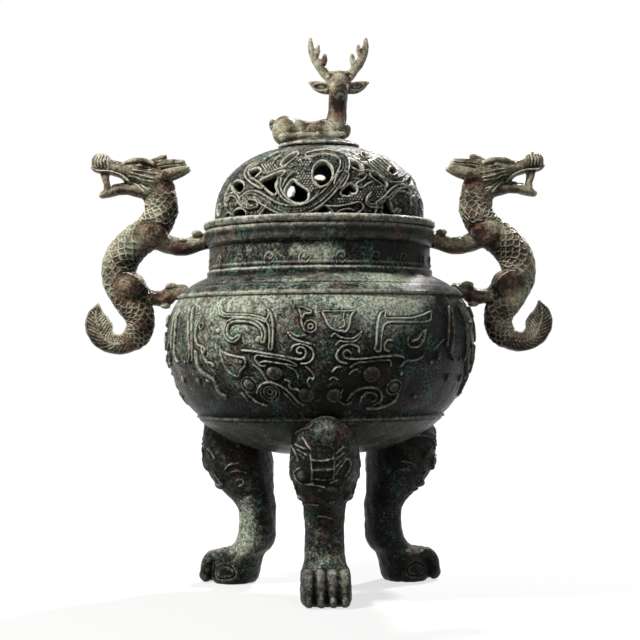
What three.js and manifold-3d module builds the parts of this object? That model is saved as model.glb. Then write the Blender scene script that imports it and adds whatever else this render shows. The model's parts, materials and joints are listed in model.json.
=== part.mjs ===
// Tripod incense burner in cast bronze. A round bellied bowl stands on three clawed legs, two dragons
// make its handles, and a pierced domed lid with a crown plate and a lying deer lifts off upwards.
// Units are millimetres, +Z is up, and the origin is under the middle of the bowl, at the soles of the
// feet. The front leg points along -Y, and the dragons stand at the -X and +X sides.
import * as THREE from "three";
import { mergeVertices } from "three/addons/utils/BufferGeometryUtils.js";
import Module from "manifold-3d";

const wasm = await Module();
wasm.setup();

// Driving dimensions
const WALL = 3; // thickness of the cast bowl
const LID_WALL = 2.8;
const GAP = 0.3; // clearance between neighbouring pieces
const TURN_SIDES = 36; // flats round each turned piece
const FACET_TOLERANCE = 0.15; // how far a face may move when small faces are merged

const NECK_RADIUS = 60.4;
const RIM_RADIUS = 63;
const RIM_BOTTOM = 186.4;
const RIM_TOP = 195.9;
const MOUTH_RADIUS = 57.2;

const LID_BOTTOM = RIM_TOP + GAP;
const LID_FLANGE_RADIUS = 63.5;
const LID_FLANGE_TOP = 200.6;
const SPIGOT_RADIUS = MOUTH_RADIUS - 0.8;
const SPIGOT_DEPTH = 4;

const CROWN_RADIUS = 22.5;

const LEG_ANGLES = { leg_front: -90, leg_right: 30, leg_left: 150 };
const LEG_RIVET_RADIUS = 48; // distance of each leg's rivet from the burner's axis
const RIVET_SHANK = 2.2;
const RIVET_HEAD = 4.4;
const SMALL_RIVET_HEAD = 3;

// Outer outline of the bowl's belly, from the middle of its floor to the foot of the neck
const BELLY = [
  [0, 73.6],
  [26, 74.8],
  [50, 82],
  [69.1, 95.3],
  [79.7, 110.6],
  [85, 127.5],
  [84.8, 146],
  [78.3, 159.6],
  [69.5, 166.2],
  [61.8, 170],
];
// The belly's broad belt: its ground lies deeper than the raised mask on it
const BELT_BOTTOM = 94.5;
const BELT_TOP = 159.4;
const GROUND_DEPTH = 1.1;
const BELT_EDGE = 0.5; // height of the slope at the belt's edges
const FORM_SINK = 0.15; // how far the mask's faces stay inside the belly's outline
const FORM_STEP = 12; // longest edge of a raised form
const MASK_RADIUS = 84; // the mask's turns and widths are laid out at this radius
// Outer outline of the lid's dome, from the flange to the axis
const DOME = [
  [57.8, LID_FLANGE_TOP],
  [57.3, 209],
  [54.6, 218],
  [49.2, 226.7],
  [38.7, 235],
  [26.4, 239.8],
  [13, 241.9],
  [0, 242.4],
];

// three.js geometry and manifold-3d solids

function solid(geometry) {
  const bare = geometry.index ? geometry.toNonIndexed() : geometry.clone();
  const positions = new THREE.BufferGeometry().setAttribute(
    "position",
    bare.getAttribute("position"),
  );
  const merged = mergeVertices(positions, 1e-3);
  const triVerts = new Uint32Array(merged.index.array);
  const vertProperties = merged.attributes.position.array;
  const made = new wasm.Manifold(
    new wasm.Mesh({ numProp: 3, vertProperties, triVerts }),
  );
  if (made.volume() > 0) return made;
  for (let i = 0; i < triVerts.length; i += 3)
    [triVerts[i + 1], triVerts[i + 2]] = [triVerts[i + 2], triVerts[i + 1]];
  return new wasm.Manifold(
    new wasm.Mesh({ numProp: 3, vertProperties, triVerts }),
  );
}

function meshOf(name, shape, material) {
  const found = shape.getMesh();
  const positions = new Float32Array(found.numVert * 3);
  for (let i = 0; i < found.numVert; i++)
    positions.set(
      found.vertProperties.subarray(i * found.numProp, i * found.numProp + 3),
      i * 3,
    );
  const geometry = new THREE.BufferGeometry()
    .setAttribute("position", new THREE.BufferAttribute(positions, 3))
    .setIndex(new THREE.BufferAttribute(found.triVerts, 1));
  geometry.computeVertexNormals();
  const mesh = new THREE.Mesh(geometry, material);
  mesh.name = name;
  return mesh;
}

// The largest closed body of a solid, without the slivers and tiny faces that a cut leaves behind
function mainBody(shape) {
  return shape
    .decompose()
    .reduce((best, body) => (body.volume() > best.volume() ? body : best))
    .simplify(FACET_TOLERANCE);
}

function joined(shapes) {
  return shapes.reduce((whole, shape) => whole.add(shape));
}

// outlines and turned shapes

function smooth(points, count) {
  const curve = new THREE.SplineCurve(
    points.map(([r, z]) => new THREE.Vector2(r, z)),
  );
  return curve.getSpacedPoints(count).map((p) => [Math.max(p.x, 0), p.y]);
}

// An open outline moved to its right, as seen along its direction, by a distance
function offset(points, distance) {
  return points.map(([r, z], i) => {
    const [r0, z0] = points[Math.max(i - 1, 0)];
    const [r1, z1] = points[Math.min(i + 1, points.length - 1)];
    const length = Math.hypot(r1 - r0, z1 - z0);
    const moved = r + ((z1 - z0) / length) * distance;
    return [r < 0.01 ? 0 : Math.max(moved, 0), z - ((r1 - r0) / length) * distance];
  });
}

function turned(points, sides = TURN_SIDES) {
  const geometry = new THREE.LatheGeometry(
    points.map(([r, z]) => new THREE.Vector2(r, z)),
    sides,
  );
  geometry.rotateX(Math.PI / 2);
  return solid(geometry);
}

const belly = smooth(BELLY, 13);
const dome = smooth(DOME, 9);

// The bowl's outside as a full body, grown by a distance, which cuts what stands against it
function bowlEnvelope(grow) {
  return turned([
    ...offset(belly, grow),
    [NECK_RADIUS + grow, 174],
    [NECK_RADIUS + grow, RIM_BOTTOM - grow],
    [RIM_RADIUS + grow, RIM_BOTTOM + 0.8 - grow],
    [RIM_RADIUS + grow, RIM_TOP + grow],
    [0, RIM_TOP + grow],
  ]);
}

function bowlCavity(grow) {
  const inner = offset(belly, grow - WALL).slice(0, -1);
  return turned([
    ...inner,
    [MOUTH_RADIUS + grow, 169],
    [MOUTH_RADIUS + grow, RIM_TOP + 1],
    [0, RIM_TOP + 1],
  ]);
}

// limbs: a closed skin round a row of stations [x, y, z, half width, half depth]

function limb(stations, { across = [0, 1, 0], rings = 10, sides = 10 } = {}) {
  const route = new THREE.CatmullRomCurve3(
    stations.map(([x, y, z]) => new THREE.Vector3(x, y, z)),
    false,
    "catmullrom",
    0.5,
  );
  const girth = new THREE.CatmullRomCurve3(
    stations.map(([, , , w, d]) => new THREE.Vector3(w, d ?? w, 0)),
    false,
    "catmullrom",
    0.5,
  );
  const side = new THREE.Vector3(...across).normalize();
  const positions = [];
  for (let i = 0; i <= rings; i++) {
    const centre = route.getPoint(i / rings);
    const size = girth.getPoint(i / rings);
    const normal = route.getTangent(i / rings).cross(side).normalize();
    for (let j = 0; j < sides; j++) {
      const angle = (2 * Math.PI * j) / sides;
      const point = centre
        .clone()
        .addScaledVector(normal, Math.max(size.x, 0.3) * Math.cos(angle))
        .addScaledVector(side, Math.max(size.y, 0.3) * Math.sin(angle));
      positions.push(point.x, point.y, point.z);
    }
  }
  return skin(positions, rings + 1, sides, route.getPoint(0), route.getPoint(1));
}

// A closed skin over rings of points, with a point at each end
function skin(positions, ringCount, sides, first, last) {
  const points = [...positions, first.x, first.y, first.z, last.x, last.y, last.z];
  const start = ringCount * sides;
  const faces = [];
  for (let i = 0; i < ringCount - 1; i++)
    for (let j = 0; j < sides; j++) {
      const a = i * sides + j;
      const b = i * sides + ((j + 1) % sides);
      faces.push(a, b, a + sides, b, b + sides, a + sides);
    }
  for (let j = 0; j < sides; j++) {
    const next = (j + 1) % sides;
    faces.push(start, next, j);
    const end = (ringCount - 1) * sides;
    faces.push(start + 1, end + j, end + next);
  }
  const geometry = new THREE.BufferGeometry()
    .setAttribute("position", new THREE.Float32BufferAttribute(points, 3))
    .setIndex(faces);
  return solid(geometry);
}

function ball([x, y, z], [rx, ry, rz], across = 10, up = 6) {
  const geometry = new THREE.SphereGeometry(1, across, up);
  geometry.rotateX(Math.PI / 2);
  geometry.scale(rx, ry, rz);
  geometry.translate(x, y, z);
  return solid(geometry);
}

// A round bar between two points
function bar(from, to, radius, sides = 10) {
  const a = new THREE.Vector3(...from);
  const b = new THREE.Vector3(...to);
  const geometry = new THREE.CylinderGeometry(radius, radius, a.distanceTo(b), sides);
  const turn = new THREE.Quaternion().setFromUnitVectors(
    new THREE.Vector3(0, 1, 0),
    b.clone().sub(a).normalize(),
  );
  geometry.applyQuaternion(turn);
  const middle = a.add(b).multiplyScalar(0.5);
  geometry.translate(middle.x, middle.y, middle.z);
  return solid(geometry);
}

// rivets: each holds a leg or a dragon's paw to the bowl's wall

const polar = (radius, degrees, z) => [
  radius * Math.cos(THREE.MathUtils.degToRad(degrees)),
  radius * Math.sin(THREE.MathUtils.degToRad(degrees)),
  z,
];

// Height of an outline, or its radius at a height, by straight lines between its points
function heightAt(points, radius) {
  const i = points.findIndex(([r], k) => k > 0 && (r - radius) * (points[k - 1][0] - radius) <= 0);
  const [r0, z0] = points[i - 1];
  const [r1, z1] = points[i];
  return z0 + ((z1 - z0) * (radius - r0)) / (r1 - r0);
}

const FLOOR_TOP = heightAt(offset(belly, -WALL), LEG_RIVET_RADIUS);
const LEG_RIVET_BOTTOM = FLOOR_TOP - 14;
const SHOULDER_RIVET_Z = 160.5;
const RIM_RIVET_Z = 188.8;
const RIVET_SITES = {};
for (const [leg, degrees] of Object.entries(LEG_ANGLES))
  RIVET_SITES[leg.replace("leg", "leg_rivet")] = {
    tip: polar(LEG_RIVET_RADIUS, degrees, LEG_RIVET_BOTTOM),
    head: polar(LEG_RIVET_RADIUS, degrees, FLOOR_TOP),
  };
for (const [side, sign] of [["left", -1], ["right", 1]]) {
  RIVET_SITES["rim_rivet_" + side] = {
    tip: [sign * 68, 0, RIM_RIVET_Z],
    head: [sign * MOUTH_RADIUS, 0, RIM_RIVET_Z],
  };
  RIVET_SITES["shoulder_rivet_" + side] = {
    tip: [sign * 85, 0, SHOULDER_RIVET_Z],
    head: [sign * 75.2, 0, SHOULDER_RIVET_Z],
  };
}
function rivetHole({ tip, head }) {
  const a = new THREE.Vector3(...tip);
  const b = new THREE.Vector3(...head);
  const along = b.clone().sub(a).normalize();
  return bar(
    a.addScaledVector(along, -GAP).toArray(),
    b.addScaledVector(along, 5).toArray(),
    RIVET_SHANK + GAP,
  );
}

function rivet(name, { tip, head }) {
  const size = name.startsWith("leg") ? RIVET_HEAD : SMALL_RIVET_HEAD;
  const wallBody = bowlEnvelope(GAP).subtract(bowlCavity(-GAP));
  const round = ball(head, [size, size, size]).subtract(wallBody);
  const inside = mainBody(round.intersect(bowlCavity(-GAP)));
  const a = new THREE.Vector3(...tip);
  const b = new THREE.Vector3(...head);
  const along = b.clone().sub(a).normalize();
  const shank = bar(tip, b.addScaledVector(along, size * 0.6).toArray(), RIVET_SHANK);
  return mainBody(inside.add(shank));
}

// bowl

// The beast's mask on the belly, over each leg. Corners and stops are a turn to the right of the mask's
// middle in degrees and a height. Plates are outlines, bands run through their stops, and knobs are round.
const MASK_PLATES = {
  leftBlade: [[-21, 152], [-18, 146], [-17.7, 134], [-18.4, 130], [-20.3, 131], [-20, 142]],
  leftLeaf: [[-39.6, 133], [-38, 123], [-33, 116.5], [-29, 121.5], [-28.5, 126], [-34, 128.5]],
  rightFlagPole: [[16.4, 130], [17.5, 145], [20.5, 150.2], [22, 146.6], [20.3, 140], [19.3, 129]],
  rightFlag: [[20.5, 147.5], [36, 147.4], [42, 150.4], [40, 144], [34, 143.2], [21, 143]],
  middleFlag: [[-1.3, 150], [10.7, 150], [8.5, 142], [6.2, 138.2], [0.7, 141.5]],
  scrollTop: [[-9.8, 151.3], [-4.6, 151.3], [-5, 148], [-7.5, 145.4], [-9, 147]],
};
const MASK_BANDS = {
  leftHorn: { width: 2.8, stops: [[-40.8, 152.6], [-37.2, 148.6], [-27.4, 148], [-21, 145.4]] },
  leftScroll: { width: 3, stops: [[-33, 135.6], [-36.3, 138.5], [-35.4, 143.4], [-31, 145], [-24, 142.8]] },
  leftBrow: { width: 5.2, stops: [[-25, 128], [-16, 126], [-9, 124.6]] },
  rightBrow: { width: 4.6, stops: [[6.5, 124.6], [16, 124.8], [28, 126]] },
  rightLeaf: { width: 2.8, stops: [[27.5, 121.5], [31, 124.4], [37, 127.6]] },
  rightCurl: { width: 2.6, stops: [[38, 140.2], [34.1, 135.6], [30, 133.4]] },
  leftSideRidge: { width: 3.4, stops: [[-57.4, 153.4], [-55.4, 146], [-55.4, 124]] },
  rightSideRidge: { width: 2.2, stops: [[53, 153], [50.6, 146], [49.4, 131.6]] },
  leftSideScroll: { width: 2.6, stops: [[-51.6, 129], [-51, 120.5], [-46, 115.4], [-43, 106.6]] },
  leftCrescent: { width: 3, stops: [[-12.6, 138.8], [-9, 135.6], [-5.1, 134.2]] },
  rightCrescent: { width: 3, stops: [[3, 134.4], [8, 134.8], [12, 138]] },
};
const MASK_KNOBS = {
  leftEye: { at: [-18.6, 118.2], radius: 4.6 },
  rightEye: { at: [16.5, 117.2], radius: 4.8 },
  leftNostril: { at: [-7.4, 107], radius: 4.2 },
  rightNostril: { at: [3.2, 106.6], radius: 4.2 },
  leftBrowCurl: { at: [-8.2, 129], radius: 4.4 },
  rightBrowCurl: { at: [7.2, 128.6], radius: 4.2 },
  leftChin: { at: [-29.1, 112.3], radius: 4.2 },
  rightChin: { at: [26.3, 110.4], radius: 4 },
  leftSpiral: { at: [-21.3, 108.2], radius: 4.8 },
  snout: { at: [18, 106], radius: 4 },
  throat: { at: [-5.3, 141.9], radius: 3 },
};

const acrossMask = (turn) => THREE.MathUtils.degToRad(turn) * MASK_RADIUS;

function bandOutline({ width, stops }) {
  const line = stops.map(([turn, z]) => new THREE.Vector2(acrossMask(turn), z));
  const aside = line.map((_, i) => {
    const from = line[Math.max(i - 1, 0)];
    const to = line[Math.min(i + 1, line.length - 1)];
    const along = to.clone().sub(from).normalize();
    return new THREE.Vector2(-along.y, along.x).multiplyScalar(width / 2);
  });
  const near = line.map((p, i) => p.clone().sub(aside[i]).toArray());
  const far = line.map((p, i) => p.clone().add(aside[i]).toArray());
  return [...near, ...far.reverse()];
}

function knobOutline({ at: [turn, z], radius }) {
  return Array.from({ length: 8 }, (_, i) => {
    const angle = (Math.PI * (i + 0.5)) / 4;
    return [acrossMask(turn) + radius * Math.cos(angle), z + radius * Math.sin(angle)];
  });
}

// A raised form of the mask, bent round the belly from a flat outline
function raisedForm(outline) {
  const slab = new wasm.CrossSection([outline], "NonZero").extrude(1).refineToLength(FORM_STEP);
  return slab.warp((point) => {
    const depth = point[2] > 0.5 ? FORM_SINK : GROUND_DEPTH + 0.6;
    const radius = radiusAt(belly, point[1]) - depth;
    const angle = point[0] / MASK_RADIUS - Math.PI / 2;
    point[2] = point[1];
    point[0] = radius * Math.cos(angle);
    point[1] = radius * Math.sin(angle);
  });
}

function mask() {
  const plates = Object.values(MASK_PLATES).map((corners) =>
    corners.map(([turn, z]) => [acrossMask(turn), z]),
  );
  const bands = Object.values(MASK_BANDS).map(bandOutline);
  const knobs = Object.values(MASK_KNOBS).map(knobOutline);
  return joined([...plates, ...bands, ...knobs].map(raisedForm));
}

// The belly's outline with the belt's ground lowered
function groundedBelly() {
  const ground = offset(belly, -GROUND_DEPTH);
  const edge = (z) => [radiusAt(belly, z), z];
  return [
    ...belly.filter(([, z]) => z < BELT_BOTTOM),
    edge(BELT_BOTTOM),
    [radiusAt(ground, BELT_BOTTOM + BELT_EDGE), BELT_BOTTOM + BELT_EDGE],
    ...ground.filter(([, z]) => z > BELT_BOTTOM + 1 && z < BELT_TOP - 1),
    [radiusAt(ground, BELT_TOP - BELT_EDGE), BELT_TOP - BELT_EDGE],
    edge(BELT_TOP),
    ...belly.filter(([, z]) => z > BELT_TOP),
  ];
}

function bowl() {
  const outside = turned([
    ...groundedBelly(),
    [61.8, 173],
    [NECK_RADIUS, 174],
    [NECK_RADIUS, RIM_BOTTOM],
    [RIM_RADIUS, RIM_BOTTOM + 0.8],
    [RIM_RADIUS, RIM_TOP - 0.8],
    [RIM_RADIUS - 0.8, RIM_TOP],
    [0, RIM_TOP],
  ]);
  let shape = outside.subtract(bowlCavity(0));
  const front = mask();
  for (const degrees of Object.values(LEG_ANGLES)) shape = shape.add(front.rotate([0, 0, degrees + 90]));
  for (const site of Object.values(RIVET_SITES)) shape = shape.subtract(rivetHole(site));
  return mainBody(shape);
}

// legs: a beast's head at the knee, a round shank and a clawed paw

// Stations of the leg: height, distance from the axis, half depth along the radius, half width
const LEG_SECTIONS = [
  [0, 55.5, 10.5, 12],
  [2.5, 55.5, 12.6, 13.2],
  [9, 54.5, 13.3, 13.2],
  [15.5, 52, 13.2, 12.8],
  [20, 45.5, 11.6, 11],
  [26, 41.4, 10.2, 10.4],
  [38, 40.6, 9.6, 10.3],
  [44, 41.5, 10.6, 10.8],
  [50, 45.6, 13.8, 11.4],
  [58, 50, 17, 15.2],
  [70, 53, 18.8, 18.2],
  [82, 55, 17.4, 17],
  [90, 57.5, 14.2, 13],
  [97, 61, 10, 6.5],
];

function leg(name, degrees) {
  const sides = 16;
  const squareness = 2.4;
  const round = (t) => Math.sign(t) * Math.abs(t) ** (2 / squareness);
  const positions = [];
  for (const [z, distance, depth, width] of LEG_SECTIONS)
    for (let j = 0; j < sides; j++) {
      const angle = (2 * Math.PI * j) / sides;
      positions.push(
        distance + depth * round(Math.cos(angle)),
        width * round(Math.sin(angle)),
        z,
      );
    }
  const low = LEG_SECTIONS[0];
  const high = LEG_SECTIONS[LEG_SECTIONS.length - 1];
  const body = skin(
    positions,
    LEG_SECTIONS.length,
    sides,
    new THREE.Vector3(low[1], 0, low[0]),
    new THREE.Vector3(high[1], 0, high[0]),
  );
  const toes = [-9, -3.1, 3.1, 9].map((y) =>
    limb([[58, y, 15.5, 3, 3], [65, y, 15, 3.8, 3], [69, y, 8, 3.6, 3], [69, y, 0.8, 3, 2.8]], {
      rings: 5,
      sides: 8,
    }),
  );
  const nose = ball([67.5, 0, 87.5], [7, 7.2, 8.6]);
  const whole = joined([body, ...toes, nose])
    .trimByPlane([0, 0, 1], 0)
    .rotate([0, 0, degrees]);
  const hole = rivetHole(RIVET_SITES[name.replace("leg", "leg_rivet")]);
  return mainBody(whole.subtract(bowlEnvelope(GAP)).subtract(hole));
}

// dragons: one at each side, its paws on the rim and the shoulder of the bowl

// Stations of the dragon's parts: distance from the axis, height, half width, half depth
const DRAGON_SPINE = [
  [86.4, 219, 6.6, 6],
  [85.8, 209, 7.1, 6.4],
  [87.5, 201.7, 7.7, 7],
  [93.5, 195.1, 8.5, 7.8],
  [101.8, 189.1, 9.1, 8.2],
  [108.4, 181.9, 9.3, 8.4],
  [110.6, 174.2, 9.1, 8.4],
  [108.9, 166, 9.1, 8.4],
  [104, 158.3, 8.8, 8],
  [99.6, 151.7, 8, 7.4],
  [98.5, 145.1, 7.2, 6.6],
  [101.2, 139, 6.1, 5.8],
  [106.7, 135.3, 5.2, 5],
  [113.3, 135.2, 5, 4.4],
  [118.8, 138.5, 6.1, 4.2],
  [121.6, 144, 7.4, 3.9],
  [122.9, 150, 5.5, 3],
  [124.3, 156.1, 0.8, 0.6],
];
const DRAGON_SKULL = [
  [82.5, 217.5, 4.4, 4.5],
  [86.4, 221, 7.2, 7.4],
  [93.5, 224.8, 7.4, 8.2],
  [100.7, 226.6, 5.8, 7.4],
  [107.8, 228, 4.1, 5.4],
  [113.9, 230.6, 4.4, 5.2],
  [119.4, 233.4, 5.2, 5.6],
  [123.2, 235.2, 2.8, 3.4],
];
const DRAGON_JAW = [
  [90.8, 218.2, 5, 6.4],
  [99, 218.6, 4, 5.6],
  [107.3, 218, 2.9, 4.6],
  [114.4, 216.4, 2.5, 4.2],
  [120.5, 215.2, 1.7, 3],
];
const DRAGON_FANG = [
  [117.7, 229.6, 1.9, 1.7],
  [117.7, 223.7, 1.4, 1.4],
  [117.2, 216.6, 1.9, 1.7],
];
const DRAGON_HORN = [
  [92, 229.4, 2.2, 2],
  [85.2, 230.9, 2.8, 2.2],
  [78.1, 232.5, 2.4, 2],
  [73.2, 233.6, 1.3, 1.2],
];
const DRAGON_EAR = [
  [89.1, 225.4, 2.2, 2],
  [83.6, 226, 3, 1.8],
  [77, 227.6, 2.4, 1.6],
  [71, 230, 1, 1],
];
const DRAGON_CREST = [
  [93.5, 230.6, 2.2, 3],
  [88.6, 233.4, 2.4, 2.2],
  [84.2, 238, 0.8, 0.8],
];
const DRAGON_ARM = [
  [92.5, 194, 6.2, 6.4],
  [84.7, 188.2, 4.8, 6],
  [77, 186.5, 4.2, 5.6],
  [69.3, 188.3, 4.1, 5.6],
  [61.5, 189.4, 4, 5.6],
];
const DRAGON_HIND_LEG = [
  [103.4, 166.5, 7.4, 7.6],
  [95.7, 160.7, 5.2, 6.4],
  [89.1, 159.4, 4.2, 5.8],
  [83.6, 159.8, 4.8, 6],
  [75, 161.6, 5, 6.2],
];

function dragon(side) {
  const sign = side === "left" ? -1 : 1;
  const inPlane = (stations, y = 0) =>
    stations.map(([distance, z, w, d]) => [sign * distance, y, z, w, d]);
  const pair = (stations, y, options) => [
    limb(inPlane(stations, y), options),
    limb(inPlane(stations, -y), options),
  ];
  const small = { rings: 3, sides: 6 };
  let shape = joined([
    limb(inPlane(DRAGON_SPINE), { rings: 30, sides: 10 }),
    limb(inPlane(DRAGON_SKULL), { rings: 8, sides: 10 }),
    limb(inPlane(DRAGON_JAW), { rings: 5, sides: 8 }),
    limb(inPlane(DRAGON_CREST), small),
    limb(inPlane(DRAGON_ARM), { rings: 6, sides: 10 }),
    limb(inPlane(DRAGON_HIND_LEG), { rings: 6, sides: 10 }),
    ...pair(DRAGON_FANG, 2.4, small),
    ...pair(DRAGON_HORN, 4, small),
    ...pair(DRAGON_EAR, 6, small),
  ]);
  shape = shape.subtract(bowlEnvelope(GAP));
  for (const place of ["rim_rivet_", "shoulder_rivet_"])
    shape = shape.subtract(rivetHole(RIVET_SITES[place + side]));
  return mainBody(shape);
}

// lid: a flange, a spigot that drops into the mouth, and a dome with pierced openwork

// Openings of the lid's openwork on its front half: turn to the right and height of the middle, half
// width and half height along the skin, and the lean of the top to the right in degrees. The back half
// has the same openings.
const PIERCINGS = [
  { turn: 1, z: 221.7, wide: 4.8, high: 6.8, lean: 0 },
  { turn: -12.6, z: 211.4, wide: 4.8, high: 6.2, lean: -25 },
  { turn: -29, z: 216.6, wide: 5, high: 4.2, lean: 20 },
  { turn: -42.5, z: 223.3, wide: 4, high: 2.2, lean: 50 },
  { turn: -53.4, z: 216.6, wide: 4.2, high: 3.8, lean: 0 },
  { turn: -48, z: 203.8, wide: 4.4, high: 2.2, lean: 0 },
  { turn: -21.5, z: 230.7, wide: 4.6, high: 1.6, lean: 50 },
  { turn: 2.5, z: 203.4, wide: 4.4, high: 1.9, lean: 0 },
  { turn: 22, z: 226, wide: 3, high: 2.5, lean: 0 },
  { turn: 35, z: 219.8, wide: 5, high: 2, lean: -35 },
  { turn: 50, z: 225.3, wide: 2.4, high: 2.4, lean: 0 },
  { turn: 35.5, z: 233.4, wide: 2, high: 1.5, lean: 0 },
  { turn: 15, z: 212, wide: 3.8, high: 3, lean: 30 },
  { turn: 63, z: 220.4, wide: 1.8, high: 2.8, lean: 0 },
  { turn: 37, z: 205.6, wide: 2.7, high: 4, lean: 0 },
  { turn: 80, z: 210, wide: 3, high: 3, lean: 0 },
  { turn: -76, z: 223, wide: 3, high: 3, lean: 0 },
  { turn: -74, z: 207, wide: 3, high: 2.6, lean: 0 },
];

function radiusAt(points, height) {
  const i = points.findIndex(([, z], k) => k > 0 && (z - height) * (points[k - 1][1] - height) <= 0);
  const [r0, z0] = points[i - 1];
  const [r1, z1] = points[i];
  return r0 + ((r1 - r0) * (height - z0)) / (z1 - z0);
}

// A short plug that stands square to the dome's skin
function piercing({ turn, z, wide, high, lean }, half) {
  const slope = Math.atan2(radiusAt(dome, z - 1) - radiusAt(dome, z + 1), 2);
  const geometry = new THREE.CylinderGeometry(1, 1, 14, wide > 2.6 ? 8 : 6);
  geometry.scale(high, 1, wide);
  geometry.rotateY(THREE.MathUtils.degToRad(-lean));
  geometry.rotateZ(Math.PI / 2 + slope);
  geometry.rotateX(Math.PI / 2);
  geometry.translate(radiusAt(dome, z), 0, z);
  geometry.rotateZ(THREE.MathUtils.degToRad(turn - 90 + half));
  return solid(geometry);
}

function lid() {
  const under = offset(dome, -LID_WALL);
  const outside = turned([
    [0, LID_BOTTOM],
    [LID_FLANGE_RADIUS - 0.6, LID_BOTTOM],
    [LID_FLANGE_RADIUS, LID_BOTTOM + 0.8],
    [LID_FLANGE_RADIUS, LID_FLANGE_TOP - 1.6],
    [LID_FLANGE_RADIUS - 1.4, LID_FLANGE_TOP - 0.4],
    ...dome,
  ]);
  const spigot = turned([
    [0, LID_BOTTOM - SPIGOT_DEPTH],
    [SPIGOT_RADIUS, LID_BOTTOM - SPIGOT_DEPTH],
    [SPIGOT_RADIUS, LID_BOTTOM + 1],
    [0, LID_BOTTOM + 1],
  ]);
  const hollow = turned([
    [0, LID_BOTTOM - SPIGOT_DEPTH - 1],
    [SPIGOT_RADIUS - 2.4, LID_BOTTOM - SPIGOT_DEPTH - 1],
    [SPIGOT_RADIUS - 2.4, LID_FLANGE_TOP],
    ...under.slice(1),
  ]);
  let shape = outside.add(spigot).subtract(hollow);
  for (const half of [0, 180])
    for (const hole of PIERCINGS) shape = shape.subtract(piercing(hole, half));
  return mainBody(shape.subtract(finialHole()));
}

// crown plate, deer and their rivet

// Upper outline of the crown plate, from its edge to the axis
const CROWN_TOP = [
  [CROWN_RADIUS, 242.3],
  [21.6, 243.2],
  [16, 245.2],
  [9, 246.6],
  [0, 247],
];
const FINIAL_RIVET_TIP = 253;
const DOME_INSIDE_TOP = DOME[DOME.length - 1][1] - LID_WALL;

function finialHole() {
  return bar([0, 0, DOME_INSIDE_TOP - 5], [0, 0, FINIAL_RIVET_TIP + GAP], RIVET_SHANK + GAP);
}

function crownEnvelope(grow) {
  const top = CROWN_TOP.map(([r, z]) => [r === 0 ? 0 : r + grow, z + grow]);
  return turned([[0, 236], [CROWN_RADIUS + grow, 236], ...top]);
}

function crownPlate() {
  const domeBody = turned([[0, 200], [57.8 + GAP, 200], ...offset(dome, GAP)]);
  return mainBody(crownEnvelope(0).subtract(domeBody).subtract(finialHole()));
}

// Stations of the deer: x, y, z, half width, half depth
const DEER_BODY = [
  [-25.2, 0, 253, 2, 3],
  [-22.5, 0, 252.4, 6.4, 6.4],
  [-15, 0, 251.4, 6.8, 7.4],
  [-5, 0, 250.6, 5.6, 6.8],
  [4, 0, 251.2, 6.2, 6.6],
  [10, 0, 251.6, 6.4, 6.4],
  [14.4, 0, 251, 4, 4.4],
];
const DEER_NECK = [
  [8.4, 0, 248, 7, 6.4],
  [9.6, -0.4, 254, 6.4, 6],
  [10.4, -0.8, 261, 5.5, 5.2],
  [10.9, -1.4, 268, 5.4, 5.2],
  [11.3, -1.8, 276, 5.8, 5.2],
];
const DEER_HEAD = [
  [11.3, 4.4, 276.6, 4, 4],
  [11.3, 0.4, 277.4, 6, 6.8],
  [11.3, -4.6, 276.6, 5.8, 6.8],
  [11.3, -9.4, 273.4, 4.6, 5.2],
  [11.3, -13.4, 270, 3.8, 4],
  [11.3, -16.2, 267.8, 2.4, 2.6],
];
const DEER_EAR = [
  [4, 0, -0.6, 2.2, 1.4],
  [8.6, -0.4, 0.4, 3.2, 1.6],
  [13, -0.6, 2, 2.4, 1.2],
  [16.4, -0.4, 3.8, 0.7, 0.6],
];
const DEER_ANTLER = [
  [4.4, 0.5, 5, 2.3, 2.2],
  [8.2, 1, 9.6, 2.2, 2.1],
  [12.4, 1.4, 15, 2.1, 2],
  [15, 1.4, 22, 1.7, 1.7],
  [15.8, 1, 29.4, 0.7, 0.7],
];
const DEER_TINES = [
  [[10.6, 1.2, 12.4, 1.6, 1.5], [8.2, 0.4, 15.4, 1.6, 1.4], [7.6, 0, 19, 0.9, 0.9]],
  [[13.8, 1.4, 18, 1.5, 1.4], [11.8, 0.8, 20.6, 1.5, 1.3], [11.2, 0.6, 24.2, 0.8, 0.8]],
];
const HEAD_CENTRE = [11.3, 0, 274.2];

function deer() {
  const onHead = (stations, sign) =>
    stations.map(([x, y, z, w, d]) => [
      HEAD_CENTRE[0] + sign * x,
      HEAD_CENTRE[1] + y,
      HEAD_CENTRE[2] + z,
      w,
      d,
    ]);
  const small = { rings: 4, sides: 6 };
  const tine = { rings: 2, sides: 5 };
  const parts = [
    limb(DEER_BODY, { rings: 9, sides: 10 }),
    limb(DEER_NECK, { rings: 5, sides: 10 }),
    limb(DEER_HEAD, { across: [1, 0, 0], rings: 7, sides: 10 }),
    ball([-18, -4.6, 250.6], [7.4, 4.6, 7.6]),
    ball([-18, 4.6, 250.6], [7.4, 4.6, 7.6]),
    ball([7, -4.4, 250.4], [6, 3.6, 5.6]),
    ball([7, 4.4, 250.4], [6, 3.6, 5.6]),
  ];
  for (const y of [-7.2, 7.2]) {
    parts.push(
      limb([[-20, y, 245.6, 2.4, 2.4], [-12, y, 246.6, 2.3, 2.2], [-3, y, 247.2, 1.8, 1.8]], small),
      limb([[12, y * 0.9, 246.8, 2.2, 2.2], [6, y, 247.2, 2.2, 2], [0, y, 247.4, 1.7, 1.7]], small),
    );
  }
  for (const sign of [-1, 1]) {
    parts.push(limb(onHead(DEER_EAR, sign), small));
    parts.push(limb(onHead(DEER_ANTLER, sign), { rings: 6, sides: 6 }));
    for (const stations of DEER_TINES) parts.push(limb(onHead(stations, sign), tine));
  }
  const standing = joined(parts).subtract(crownEnvelope(GAP));
  return mainBody(standing.trimByPlane([0, 0, 1], CROWN_TOP[0][1]).subtract(finialHole()));
}

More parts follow.
